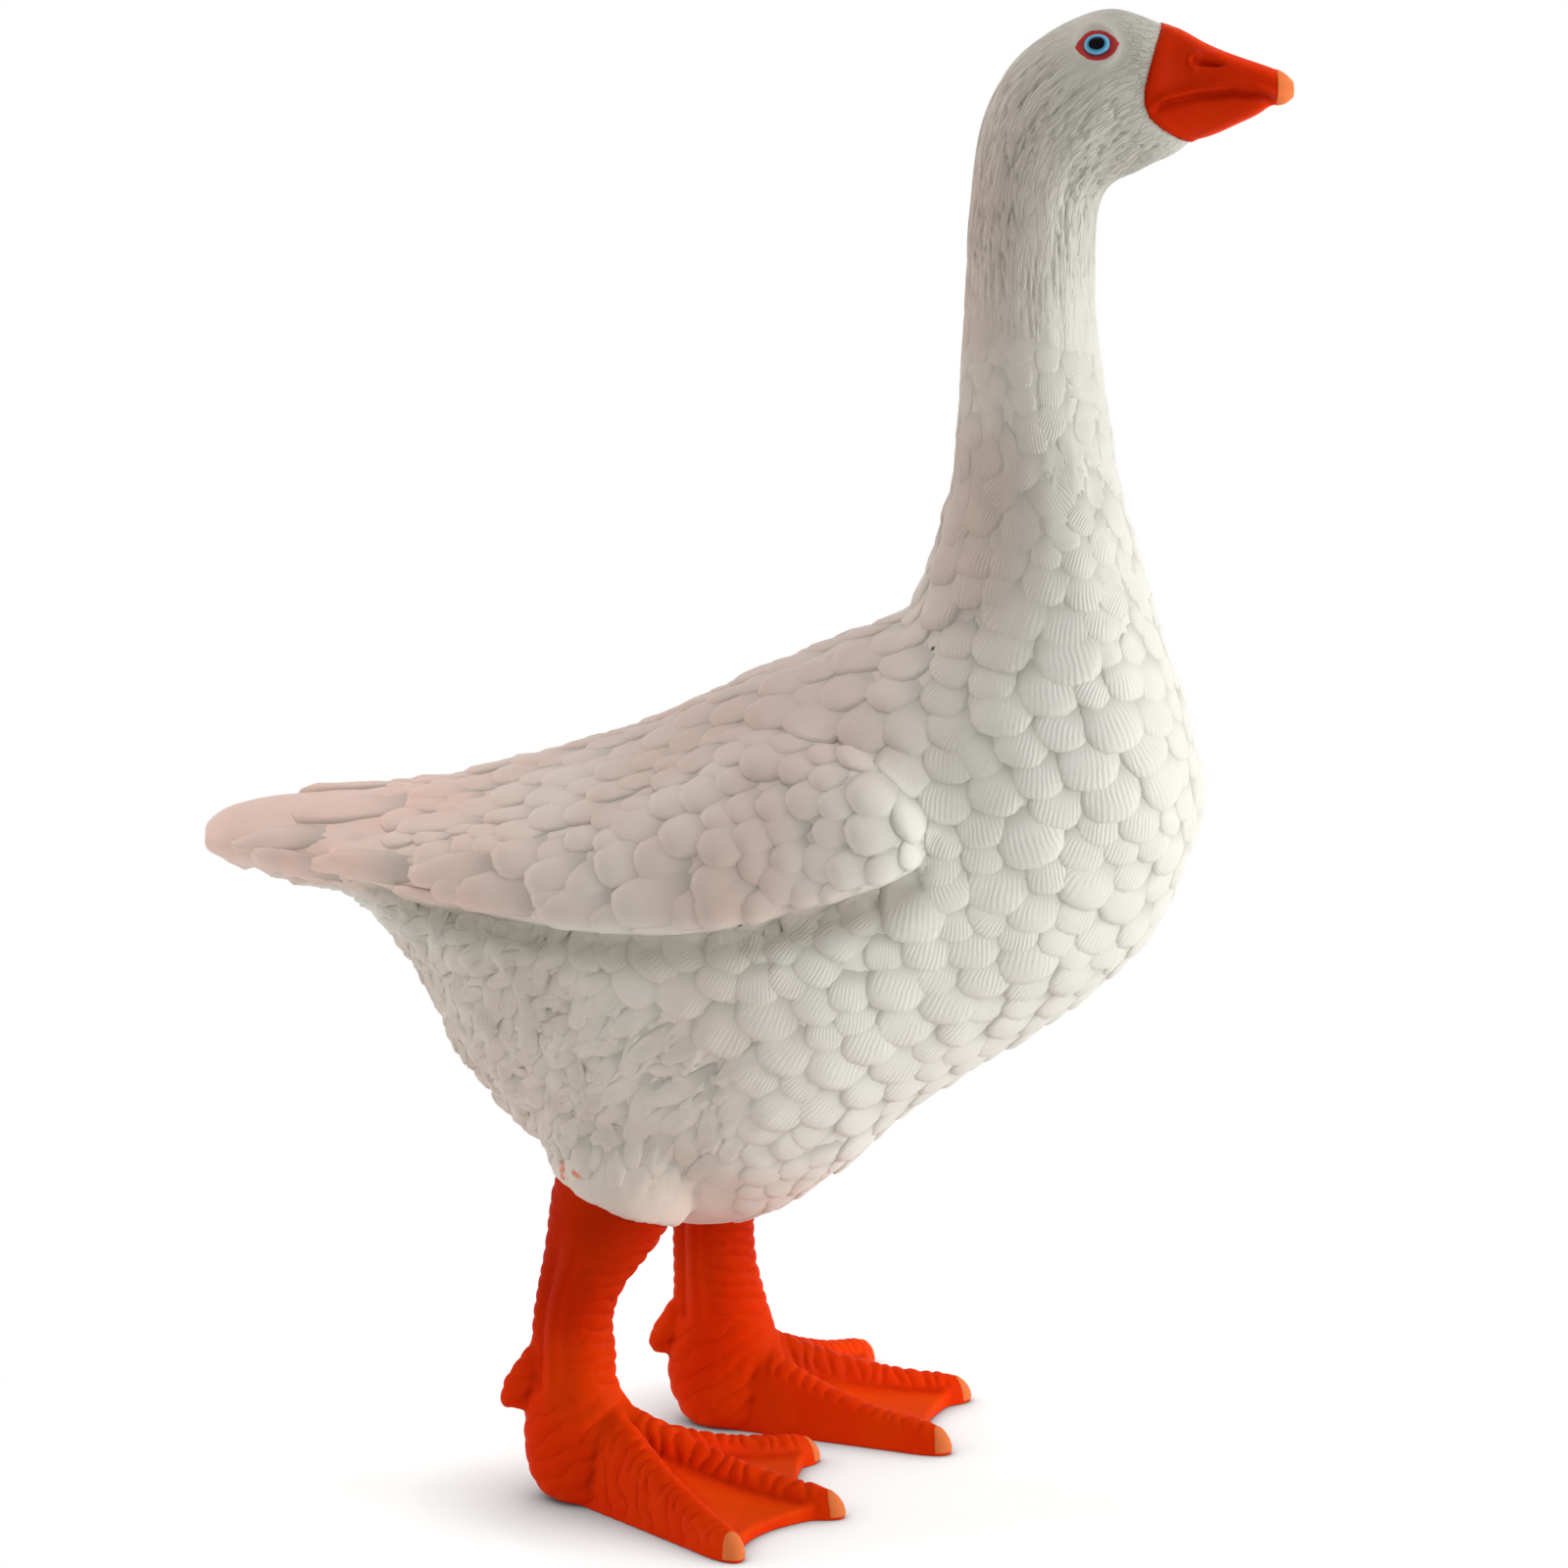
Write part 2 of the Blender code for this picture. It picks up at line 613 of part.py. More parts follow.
def ground_cutter():
    """A block below Z = 0 that leaves the soles flat."""
    mesh = bmesh.new()
    bmesh.ops.create_cube(mesh, size=1)
    bmesh.ops.scale(mesh, verts=mesh.verts, vec=(4 * TRUNK_LENGTH, 4 * TRUNK_LENGTH, 0.01))
    bmesh.ops.translate(mesh, verts=mesh.verts, vec=(0, 0, -0.005))
    cutter = solid_object("ground", mesh)
    cutter.hide_render = True
    cutter.display_type = "WIRE"
    return cutter


def white_plastic():
    material = bpy.data.materials.new("white_plastic")
    material.use_nodes = True
    shader = material.node_tree.nodes["Principled BSDF"]
    shader.inputs["Base Color"].default_value = (0.80, 0.78, 0.75, 1)
    shader.inputs["Roughness"].default_value = 0.5
    return material


main()
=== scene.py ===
import math

import bmesh
import bpy
import numpy as np
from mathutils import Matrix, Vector, noise
from mathutils.bvhtree import BVHTree
from mathutils.kdtree import KDTree


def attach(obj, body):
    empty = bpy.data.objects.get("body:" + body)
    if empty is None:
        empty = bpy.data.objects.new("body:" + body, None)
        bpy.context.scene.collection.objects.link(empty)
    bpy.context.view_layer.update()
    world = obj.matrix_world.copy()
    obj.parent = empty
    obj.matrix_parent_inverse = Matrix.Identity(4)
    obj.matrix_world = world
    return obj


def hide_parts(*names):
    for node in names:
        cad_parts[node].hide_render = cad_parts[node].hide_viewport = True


# The goose faces +X and stands on Z = 0. Sizes are in millimetres until a mesh is made.
mm = 0.001
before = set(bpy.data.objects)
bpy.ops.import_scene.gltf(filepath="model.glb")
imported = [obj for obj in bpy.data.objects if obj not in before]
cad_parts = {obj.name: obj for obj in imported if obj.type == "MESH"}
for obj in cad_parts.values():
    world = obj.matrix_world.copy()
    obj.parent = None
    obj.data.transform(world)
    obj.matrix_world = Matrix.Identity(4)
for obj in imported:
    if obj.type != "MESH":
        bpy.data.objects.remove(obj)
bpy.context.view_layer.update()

camera = {"elevation": 13.0, "distance": 350.0, "target": (2.2, 0.0, 36.07), "lens": 157.5}

gooseShape = {
    # top x, top z, low x, low z, half width, widest place from top to low; the tail tip comes first
    "sections": [
        (-27.4, 33.8, -27.4, 32.7, 1.2, 0.50),
        (-26.2, 34.6, -26.2, 32.1, 2.5, 0.50),
        (-22.8, 35.2, -22.6, 31.3, 4.3, 0.50),
        (-18.6, 35.6, -19.2, 30.0, 6.2, 0.48),
        (-14.3, 36.15, -16.8, 27.2, 7.8, 0.45),
        (-9.8, 37.3, -14.9, 23.2, 9.2, 0.44),
        (-5.8, 38.5, -12.5, 19.8, 10.2, 0.43),
        (-2.5, 39.9, -9.4, 16.9, 10.8, 0.43),
        (0.7, 41.6, -5.8, 14.2, 11.2, 0.44),
        (3.7, 42.8, -1.5, 12.9, 11.3, 0.45),
        (6.2, 43.9, 3.6, 15.0, 11.2, 0.47),
        (7.9, 44.5, 9.3, 19.8, 10.8, 0.50),
        (9.1, 45.5, 16.5, 24.5, 10.2, 0.54),
        (9.5, 46.8, 21.1, 29.1, 9.4, 0.57),
        (10.0, 48.3, 23.3, 35.0, 8.2, 0.60),
        (10.4, 50.3, 23.0, 38.1, 7.2, 0.60),
        (10.7, 52.0, 21.7, 43.0, 6.0, 0.58),
        (11.0, 55.3, 19.6, 50.0, 4.5, 0.54),
        (11.2, 59.5, 18.3, 57.0, 3.6, 0.50),
        (11.4, 63.2, 17.8, 62.2, 3.2, 0.50),
        (11.5, 66.0, 17.9, 65.2, 3.1, 0.50),
        (12.0, 69.6, 18.4, 66.7, 3.2, 0.50),
        (13.0, 72.1, 19.4, 67.3, 3.3, 0.50),
        (14.6, 73.9, 20.4, 67.8, 3.3, 0.48),
        (16.6, 75.1, 21.3, 68.2, 3.2, 0.46),
        (18.8, 75.6, 22.1, 68.7, 2.9, 0.46),
        (20.9, 74.9, 22.7, 69.15, 2.42, 0.50),
        (21.9, 74.55, 23.25, 69.30, 2.12, 0.50),
        (22.9, 74.0, 24.0, 69.58, 1.86, 0.50),
        (24.1, 73.45, 24.9, 70.00, 1.66, 0.50),
        (25.3, 73.02, 25.9, 70.50, 1.44, 0.50),
        (26.3, 72.68, 26.5, 70.88, 1.20, 0.50),
        (27.1, 72.30, 27.1, 71.00, 0.90, 0.50),
        (27.5, 71.90, 27.5, 71.30, 0.45, 0.50),
    ],
    "steps": 6,
    "around": 72,
    "voxel": 0.245,
    "bodyEnd": 19.0,
    "headStart": 17.6,
    "headSteps": 14,
    "headAround": 220,
    "neckSeam": 18.3,
}

wingShape = {
    # x, lower z, upper z from the wrist back to the rear tip
    "edges": [
        (9.6, 35.7, 35.7),
        (9.0, 34.3, 37.1),
        (7.8, 33.6, 38.4),
        (5.1, 32.6, 39.9),
        (0.6, 31.3, 40.4),
        (-5.4, 30.7, 38.2),
        (-11.4, 31.2, 36.3),
        (-15.9, 31.9, 35.3),
        (-20.4, 32.8, 34.5),
    ],
    "rise": 1.4,
    # width of the rounded lower edge, and of the upper one at the front against it
    "bank": 0.9,
    "upperBank": 3.0,
    # how much of the rise lies over the skin and under it, and how deep the slab reaches
    "over": 1.22,
    "under": 0.22,
    "root": 1.2,
}

skinRelief = {
    # height in millimetres and frequency of the waves, gone between these heights up the neck
    "waves": [(0.24, 0.24), (0.10, 0.65)],
    "calm": (50.0, 55.0),
    # the hollow in front of the wing: x, z, half width, half height, depth
    "dent": (10.2, 39.0, 2.2, 2.6, 0.30),
    # depth and half width of the groove under the wing, and how far below the edge it runs
    "groove": (0.38, 0.45, 0.50),
    # heights of lumps or streaks, pits and creases
    "vent": (0.50, 0.16, 0.10),
    "thigh": (0.30, 0.08, 0.12),
    "neck": (0.16, 0.07),
}


def splineRows(rows, steps):
    # natural cubic spline with the same number of steps in each gap
    rows = np.array(rows, float)
    gaps = np.linalg.norm(np.diff(rows[:, :4], axis=0), axis=1) ** 0.7
    count = len(rows)
    system = np.eye(count)
    target = np.zeros_like(rows)
    slopes = np.diff(rows, axis=0) / gaps[:, None]
    for i in range(1, count - 1):
        system[i, i - 1 : i + 2] = gaps[i - 1], 2 * (gaps[i - 1] + gaps[i]), gaps[i]
        target[i] = 6 * (slopes[i] - slopes[i - 1])
    bends = np.linalg.solve(system, target)
    share = (np.arange(steps) / steps)[:, None]
    parts = []
    for i, gap in enumerate(gaps):
        near = 1 - share
        curve = near * rows[i] + share * rows[i + 1]
        curve += gap**2 / 6 * ((near**3 - near) * bends[i] + (share**3 - share) * bends[i + 1])
        parts.append(curve)
    return np.vstack(parts + [rows[-1:]])


def ringPoints(rows, around):
    turn = np.linspace(0, 2 * math.pi, around, endpoint=False)
    share = (1 - np.cos(turn)) / 2 + (rows[:, 5] - 0.5)[:, None] * np.sin(turn) ** 2
    x = rows[:, 0, None] * (1 - share) + rows[:, 2, None] * share
    z = rows[:, 1, None] * (1 - share) + rows[:, 3, None] * share
    y = rows[:, 4, None] * np.sin(turn)
    return np.stack([x, y, z], axis=2)


def addLoft(mesh, rings):
    # closed solid through rings of equal length
    verts = [[mesh.verts.new(point) for point in ring] for ring in rings]
    for near, far in zip(verts, verts[1:]):
        for i in range(len(near)):
            j = (i + 1) % len(near)
            mesh.faces.new((near[i], near[j], far[j], far[i]))
    mesh.faces.new(verts[0][::-1])
    mesh.faces.new(verts[-1])


def addSlab(mesh, top, low):
    # closed solid between two grids of points
    rows, columns = top.shape[:2]
    upper = [[mesh.verts.new(point) for point in line] for line in top]
    lower = [[mesh.verts.new(point) for point in line] for line in low]
    for i in range(rows - 1):
        for j in range(columns - 1):
            mesh.faces.new((upper[i][j], upper[i + 1][j], upper[i + 1][j + 1], upper[i][j + 1]))
            mesh.faces.new((lower[i][j], lower[i][j + 1], lower[i + 1][j + 1], lower[i + 1][j]))
    rim = [(i, 0) for i in range(rows)]
    rim += [(rows - 1, j) for j in range(1, columns)]
    rim += [(i, columns - 1) for i in range(rows - 2, -1, -1)]
    rim += [(0, j) for j in range(columns - 2, 0, -1)]
    for (i, j), (k, m) in zip(rim, rim[1:] + rim[:1]):
        mesh.faces.new((upper[i][j], lower[i][j], lower[k][m], upper[k][m]))


def linkObject(name, data):
    made = bpy.data.objects.new(name, data)
    bpy.context.scene.collection.objects.link(made)
    return made


def meshObject(name, mesh, scale=mm):
    bmesh.ops.recalc_face_normals(mesh, faces=mesh.faces)
    bmesh.ops.scale(mesh, verts=mesh.verts, vec=(scale, scale, scale))
    data = bpy.data.meshes.new(name)
    mesh.to_mesh(data)
    mesh.free()
    return linkObject(name, data)


def plainMesh(made, name):
    # the evaluated result as its own mesh, with the source object taken away
    made.data.name = name + "Source"
    graph = bpy.context.evaluated_depsgraph_get()
    data = bpy.data.meshes.new_from_object(made.evaluated_get(graph))
    bpy.data.objects.remove(made)
    data.name = name
    return data


def evened(made, name, voxel, smoothing):
    remesh = made.modifiers.new("even", "REMESH")
    remesh.mode = "VOXEL"
    remesh.voxel_size = voxel * mm
    smooth = made.modifiers.new("smooth", "SMOOTH")
    smooth.factor = 0.5
    smooth.iterations = smoothing
    return plainMesh(made, name)


def getPoints(data, what="co"):
    values = np.empty(len(data.vertices) * 3)
    data.vertices.foreach_get(what, values)
    return values.reshape(-1, 3)


def setPoints(data, points):
    data.vertices.foreach_set("co", points.reshape(-1))
    data.update()


def setShares(data, name, values, kind="FLOAT"):
    made = data.attributes.new(name, kind, "POINT")
    made.data.foreach_set("vector" if kind == "FLOAT_VECTOR" else "value", np.ravel(values))


def ramp(value, low, high):
    t = np.clip((value - low) / (high - low), 0, 1)
    return t * t * (3 - 2 * t)


def hump(away, wide, beside=0.0, tall=1.0):
    return np.exp(-((away / wide) ** 2) - (beside / tall) ** 2)


def ridge(x, y, z):
    # 1 on thin lines of the noise
    return max(0.0, 1 - abs(noise.noise(Vector((x, y, z)))) * 6)


# the body: the plain goose with its wings and thighs
def roundEdge(share):
    # quarter round from 0 at the edge to 1
    return math.sqrt(1 - (1 - min(max(share, 0), 1)) ** 2)


def wingGrids(skin, side):
    edges = splineRows([(a, b, c, 0, 0, 0) for a, b, c in wingShape["edges"]], 6)
    across = np.linspace(0, 1, 19)
    outer = np.zeros((len(edges), len(across), 3))
    inner = np.zeros_like(outer)
    length = edges[0, 0] - edges[-1, 0]
    for i, (x, low, high) in enumerate(edges[:, :3]):
        along = (edges[0, 0] - x) / length
        for j, t in enumerate(across):
            z = low * (1 - t) + high * t
            beside = Vector((x, side * 30, z))
            hit, normal = skin.ray_cast(beside, Vector((0, -side, 0)))[:2]
            if hit is None:
                hit, normal = skin.find_nearest(Vector((x, side * 6, z)))[:2]
            bank = roundEdge(min(z - low, (edges[0, 0] - x) / 2) / wingShape["bank"])
            fade = 1 - max(0.0, (t - 0.45) / 0.55) ** 1.5
            front = 1 - ramp(along, 0.10, 0.50)
            upperEdge = min(high - z, edges[0, 0] - x) / (wingShape["upperBank"] * wingShape["bank"])
            fade = fade * (1 - front) + roundEdge(upperEdge) * front
            tailFade = 1 - 0.5 * max(0.0, (along - 0.6) / 0.4)
            rise = wingShape["rise"] * (wingShape["over"] * bank * fade * tailFade - wingShape["under"])
            outer[i, j] = hit + normal * rise
            inner[i, j] = hit - normal * wingShape["root"]
    return outer, inner


def addThigh(mesh, side):
    # the feathered top of a leg, open to the shank below
    heel, y = legs["heel"][side], side * legs["side"]
    rows = splineRows(legs["thigh"][side], 4)
    turn = np.linspace(0, 2 * math.pi, 40, endpoint=False)
    rings = []
    for zBack, back, zFront, front, half, inward in rows:
        t = (np.cos(turn) + 1) / 2
        x = heel + back + (front - back) * t
        z = zBack + (zFront - zBack) * t
        rings.append(np.stack([x, y - side * inward + half * np.sin(turn), z], axis=1))
    addLoft(mesh, rings)


def makeSkin():
    rows = splineRows(gooseShape["sections"], gooseShape["steps"])
    rows = rows[: int(gooseShape["bodyEnd"] * gooseShape["steps"]) + 1]
    rings = ringPoints(rows, gooseShape["around"])
    # the skin dips under the head piece at its end
    station = np.arange(len(rows)) / gooseShape["steps"] - gooseShape["neckSeam"]
    dip = 0.10 * ramp(station, -0.05, 0.35)[:, None, None]
    middle = rings.mean(axis=1, keepdims=True)
    mesh = bmesh.new()
    addLoft(mesh, middle + (rings - middle) * (1 - dip))
    bmesh.ops.recalc_face_normals(mesh, faces=mesh.faces)
    skin = BVHTree.FromBMesh(mesh)
    for side in (-1, 1):
        addSlab(mesh, *wingGrids(skin, side))
        addThigh(mesh, side)
    voxel = gooseShape["voxel"] * 1
    data = evened(meshObject("skin", mesh), "plumage", voxel, 4)
    points, normals = getPoints(data), getPoints(data, "normal")
    x, z, wide, tall, depth = skinRelief["dent"]
    dent = hump(points[:, 0] / mm - x, wide, points[:, 2] / mm - z, tall)
    waves = [
        sum(height * noise.noise(Vector(point) * often / mm) for height, often in skinRelief["waves"])
        for point in points
    ]
    calm = 1 - ramp(points[:, 2] / mm, *skinRelief["calm"])
    setPoints(data, points + normals * ((np.array(waves) * calm - depth * dent) * mm)[:, None])
    return data, rings * mm


def roughened(data):
    # the groove under the wing, the lumpy vent, the streaky thigh and the faint lines of the neck
    points, normals = getPoints(data), getPoints(data, "normal")
    x, y, z = (points / mm).T
    below = wingEdge(x, 1) - z
    besideWing = (np.abs(y) > 3.5) * ramp(x, -20.5, -18.0) * (1 - ramp(x, 9.0, 10.0))
    depth, wide, middle = skinRelief["groove"]
    move = -depth * besideWing * hump(below - middle, wide)
    under = ramp(below, 0.2, 1.2)
    vent = under * ramp(-x - 0.35 * (z - 20), 4.0, 7.0) * ramp(z, 17.5, 20.5)
    thigh = under * ramp(-x, -4.0, 0.0) * (1 - vent)
    thigh = thigh * (1 - ramp(z + 0.6 * x, 24.0, 28.0)) * ramp(z, 15.0, 19.5)
    ventLump, ventPits, ventCrease = skinRelief["vent"]
    thighStreak, thighPits, thighLine = skinRelief["thigh"]
    for i in np.nonzero((vent > 0.01) | (thigh > 0.01))[0]:
        spot = Vector(points[i] / mm)
        # down and back along the strokes, and across them
        along = spot.x * -0.50 + spot.z * -0.86
        across = spot.x * 0.86 - spot.z * 0.50
        bend = 1.2 * noise.noise(spot * 0.35)
        lump = noise.noise(Vector((across * 1.0 + bend, spot.y * 0.8, along * 0.75)))
        pits = noise.noise(Vector((across * 1.9 + bend, spot.y * 1.5, along * 1.3)))
        crease = ridge(across * 1.3 + bend, spot.y * 1.0, along * 0.8)
        streak = noise.noise(Vector((across * 1.3 + bend, spot.y * 0.9, along * 0.28)))
        line = ridge(across * 1.7 + bend, spot.y * 1.2, along * 0.34)
        move[i] += vent[i] * (ventLump * lump + ventPits * pits - ventCrease * crease)
        move[i] += thigh[i] * (thighStreak * streak + thighPits * pits - thighLine * line)
    neck = ramp(z, 42.0, 48.0) * (1 - ramp(z, 54.0, 57.0))
    neckLump, neckLine = skinRelief["neck"]
    for i in np.nonzero(neck > 0.01)[0]:
        spot = Vector(points[i] / mm)
        lump = noise.noise(Vector((spot.x * 0.9, spot.y * 0.9, spot.z * 0.45)))
        line = ridge(spot.x * 1.6, spot.y * 1.6, spot.z * 0.30)
        move[i] += neck[i] * (neckLump * lump - neckLine * line)
    setPoints(data, points + normals * (move * mm)[:, None])


# the feathers
plumage = {
    # side-view x, z and the way the tips point: 0 is straight back, 90 straight down
    "flow": [
        (16, 72, 75), (14, 66, 88), (14, 58, 90), (13, 50, 90), (20, 46, 88), (23, 36, 90), (21, 29, 75),
        (14, 42, 88), (12, 36, 88), (11, 30, 82), (16, 26, 65), (9, 46, 75), (5, 41, 45), (0, 40, 32),
        (-8, 37, 22), (-16, 35, 12), (-24, 34, 2), (5, 35, 24), (-3, 34, 12), (-12, 33, 4), (-19, 33, 0),
        (3, 28, 68), (-3, 27, 60), (8, 24, 65), (9, 19, 45), (3, 17, 42), (-3, 21, 55), (-3, 14, 40),
        (-9, 27, 58), (-14, 27, 62), (-11, 21, 62), (-7, 17, 66),
    ],
    # feathers of the tail and the wing's lower row: tip x, tip z, length, width
    "placed": [
        (-22.8, 35.2, 8.0, 2.9), (-22.5, 33.4, 8.0, 2.5), (-16.9, 36.1, 4.6, 2.3), (-17.2, 34.8, 6.4, 2.4),
        (-16.8, 33.4, 6.4, 2.0), (-17.6, 31.9, 5.6, 2.0), (-14.6, 32.1, 6.2, 3.0), (-10.9, 33.9, 4.6, 2.3),
        (-10.4, 32.2, 5.8, 3.0), (-6.1, 31.9, 5.6, 3.1), (-2.2, 32.3, 4.8, 2.9), (1.0, 33.2, 4.0, 2.6),
        (4.3, 34.0, 3.2, 2.4), (-13.0, 35.6, 4.0, 1.9), (-26.4, 34.1, 7.0, 2.0), (-25.2, 32.8, 6.5, 1.7),
    ],
    "placedLift": 0.50,
    "seed": 11,
    "twist": 12.0,
    "change": (0.78, 1.22),
    # share of the length and of the width that a feather keeps from the next, and how much that varies
    "rowGap": 0.45,
    "sideGap": 0.64,
    "placedGap": 0.42,
    "gapChange": (0.85, 1.15),
    "liftChange": (0.75, 1.2),
    "sizeChange": 0.05,
    # neck sections above which the kind changes
    "neckKinds": [(18.30, None), (17.1, "neckHigh"), (16.2, "neckMid"), (15.5, "neckLow")],
    # bare margins: rear end, wrist, lip of the wing and the gap under it
    "rear": -17.5,
    "wrist": 8.8,
    "lip": 0.9,
    "gap": 0.35,
    # lowest height of the tufts
    "tuftsEnd": 18.5,
}

# length, width, lift in millimetres, barbs, twist
featherKinds = {
    "breast": (3.5, 3.6, 0.33, 1.0, 1.2),
    "flank": (3.5, 3.4, 0.32, 0.9, 1.2),
    "belly": (3.0, 2.8, 0.22, 0.6, 1.4),
    "neckLow": (3.2, 2.8, 0.17, 1.0, 1.5),
    "neckMid": (3.2, 2.3, 0.10, 1.0, 2.0),
    "neckHigh": (3.4, 1.9, 0.05, 0.9, 2.2),
    "mantle": (3.8, 3.3, 0.33, 0.35, 1.3),
    "covert": (3.3, 2.6, 0.36, 0.25, 1.1),
    "placed": (0, 0, 0, 0.20, 0.1),
    "thighTuft": (4.0, 1.3, 0.17, 0.7, 1.6),
    "ventTuft": (2.6, 1.05, 0.20, 0.6, 2.2),
}
longKinds = ("placed", "thighTuft", "ventTuft")


class Surface:
    # points of the plain goose with what the feathers need to know there

    def __init__(self, data, rings):
        self.points = getPoints(data)
        self.normals = getPoints(data, "normal")
        self.tree = KDTree(len(self.points))
        for i, point in enumerate(self.points):
            self.tree.insert(point, i)
        self.tree.balance()
        flat = rings.reshape(-1, 3)
        ringTree = KDTree(len(flat))
        for i, point in enumerate(flat):
            ringTree.insert(point, i)
        ringTree.balance()
        found = [ringTree.find(point) for point in self.points]
        self.station = np.array([item[1] for item in found]) // rings.shape[1] / gooseShape["steps"]
        self.flow = self.flowAt(self.points / mm, self.normals)

    def flowAt(self, points, normals):
        anchors = np.array(plumage["flow"], float)
        away = (points[:, None, 0] - anchors[None, :, 0]) ** 2
        away = away + (points[:, None, 2] - anchors[None, :, 1]) ** 2
        weight = 1 / (away + 2.0) ** 2
        turn = np.radians(anchors[:, 2])
        x = -(weight * np.cos(turn)).sum(1)
        z = -(weight * np.sin(turn)).sum(1)
        flow = np.stack([x, np.zeros_like(x), z], axis=1)
        flow -= normals * (flow * normals).sum(1, keepdims=True)
        return flow / np.maximum(np.linalg.norm(flow, axis=1, keepdims=True), 1e-9)

    def around(self, i, reach):
        near = np.array([item[1] for item in self.tree.find_range(self.points[i], reach)])
        near = near[self.normals[near] @ self.normals[i] > 0.2]
        offsets = (self.points[near] - self.points[i]) / mm
        across = np.cross(self.normals[i], self.flow[i])
        return near, offsets @ self.flow[i], offsets @ across


def wingEdge(x, column):
    # height of the wing's lower (1) or upper (2) edge
    edges = np.array(wingShape["edges"][::-1])
    return np.interp(x, edges[:, 0], edges[:, column])


def wingShade(points):
    # shade right under the wing's lip and in the hollow in front of it
    x, y, z = points.T / mm
    below = wingEdge(x, 1) - z
    beside = (np.abs(y) > 3.5) * ramp(x, -20.0, -16.0) * (1 - ramp(x, 8.0, 10.5))
    lip = beside * ramp(below, -0.3, 0.1) * (1 - ramp(below, 0.6, 3.0))
    return lip + 0.30 * hump(x - 9.8, 3.2, z - 39.3, 3.0)


def insideLeg(x, y, z):
    side = 1 if y > 0 else -1
    if z > 17.5:
        return False
    back, front, half = shankAt(side, z)
    x0 = legs["heel"][side]
    away = ((x - x0 - (back + front) / 2) / (0.5 * (front - back))) ** 2
    return away + ((y - shankMiddle(side, z)) / half) ** 2 < 1


def kindAt(x, y, z, station):
    low, high = wingEdge(x, 1), wingEdge(x, 2)
    onSide = abs(y) > 4
    onWing = -20.4 < x < 9.6 and low < z and onSide
    if insideLeg(x, y, z):
        return None
    for start, kind in plumage["neckKinds"]:
        if station > start:
            return kind
    onLip = z < low + plumage["lip"] or (x > 5.5 and -0.5 < z - high < 0.1) or x > plumage["wrist"]
    underLip = low - plumage["gap"] < z <= low and -20 < x < 9.5 and onSide
    if x < plumage["rear"] or (onWing and onLip) or underLip:
        return None
    if (onWing and z < high) or (x < -12 and z > low):
        return "covert"
    if z < low - 0.5 and x < -5.0 - 0.35 * (z - 20):
        return "ventTuft" if z > plumage["tuftsEnd"] else None
    if z < 25.5 - 0.6 * x and x < 1.0:
        tufted = noise.noise(Vector((x, y, z)) * 0.45) > -0.05
        return "thighTuft" if tufted and z > plumage["tuftsEnd"] else None
    if x < 9.5 and z > 37:
        return "mantle"
    if z < 16.5 or (z < 19 and x > 3):
        return "belly"
    return "breast" if x > 10 else "flank"


def placedSeats(surface):
    # the feathers that have a place of their own, on both sides
    seats = []
    for side in (-1, 1):
        beside = np.nonzero(surface.normals[:, 1] * side > 0.15)[0]
        for x, z, length, width in plumage["placed"]:
            flow = surface.flowAt(np.array([[x, 0, z]]), np.array([[0, side, 0]]))[0]
            place = np.array((x, z)) - flow[[0, 2]] * length / 2
            away = surface.points[beside][:, [0, 2]] / mm - place
            seat = beside[np.argmin((away**2).sum(1))]
            seats.append((seat, "placed", (length, width, plumage["placedLift"])))
    return seats


def feathersSeated(surface):
    # where the feathers sit, which kind each is and its size
    taken = np.zeros(len(surface.points), bool)
    chance = np.random.default_rng(plumage["seed"])
    key = -(surface.points[:, 2] + 0.55 * surface.points[:, 0]) / mm + chance.uniform(-0.5, 0.5, len(taken))
    seats = placedSeats(surface)
    for i, kind, (length, width, lift) in seats:
        near, along, across = surface.around(i, length * 0.6 * mm)
        share = plumage["placedGap"]
        taken[near[(along / (share * length)) ** 2 + (across / (share * width)) ** 2 < 1]] = True
    for i in np.argsort(key, kind="stable"):
        if taken[i]:
            continue
        kind = kindAt(*(surface.points[i] / mm), surface.station[i])
        if kind is None:
            continue
        change = chance.uniform(*plumage["change"])
        length, width, lift = np.array(featherKinds[kind][:3]) * change
        seats.append((i, kind, (length, width, lift)))
        near, along, across = surface.around(i, length * 0.8 * mm)
        rowGap = plumage["rowGap"] * length * chance.uniform(*plumage["gapChange"])
        sideGap = plumage["sideGap"] * width * chance.uniform(*plumage["gapChange"])
        taken[near[(along / rowGap) ** 2 + (across / sideGap) ** 2 < 1]] = True
    return seats


featherRings = {
    # share of the outline and height of each ring; the last is sunk below the skin
    "top": [(0.50, 1.0), (0.78, 0.88), (0.96, 0.50), (1.08, -0.50)],
    "bottom": -1.0,
    "root": -0.35,
    # millimetres that every rim goes down besides
    "sunk": 0.16,
}


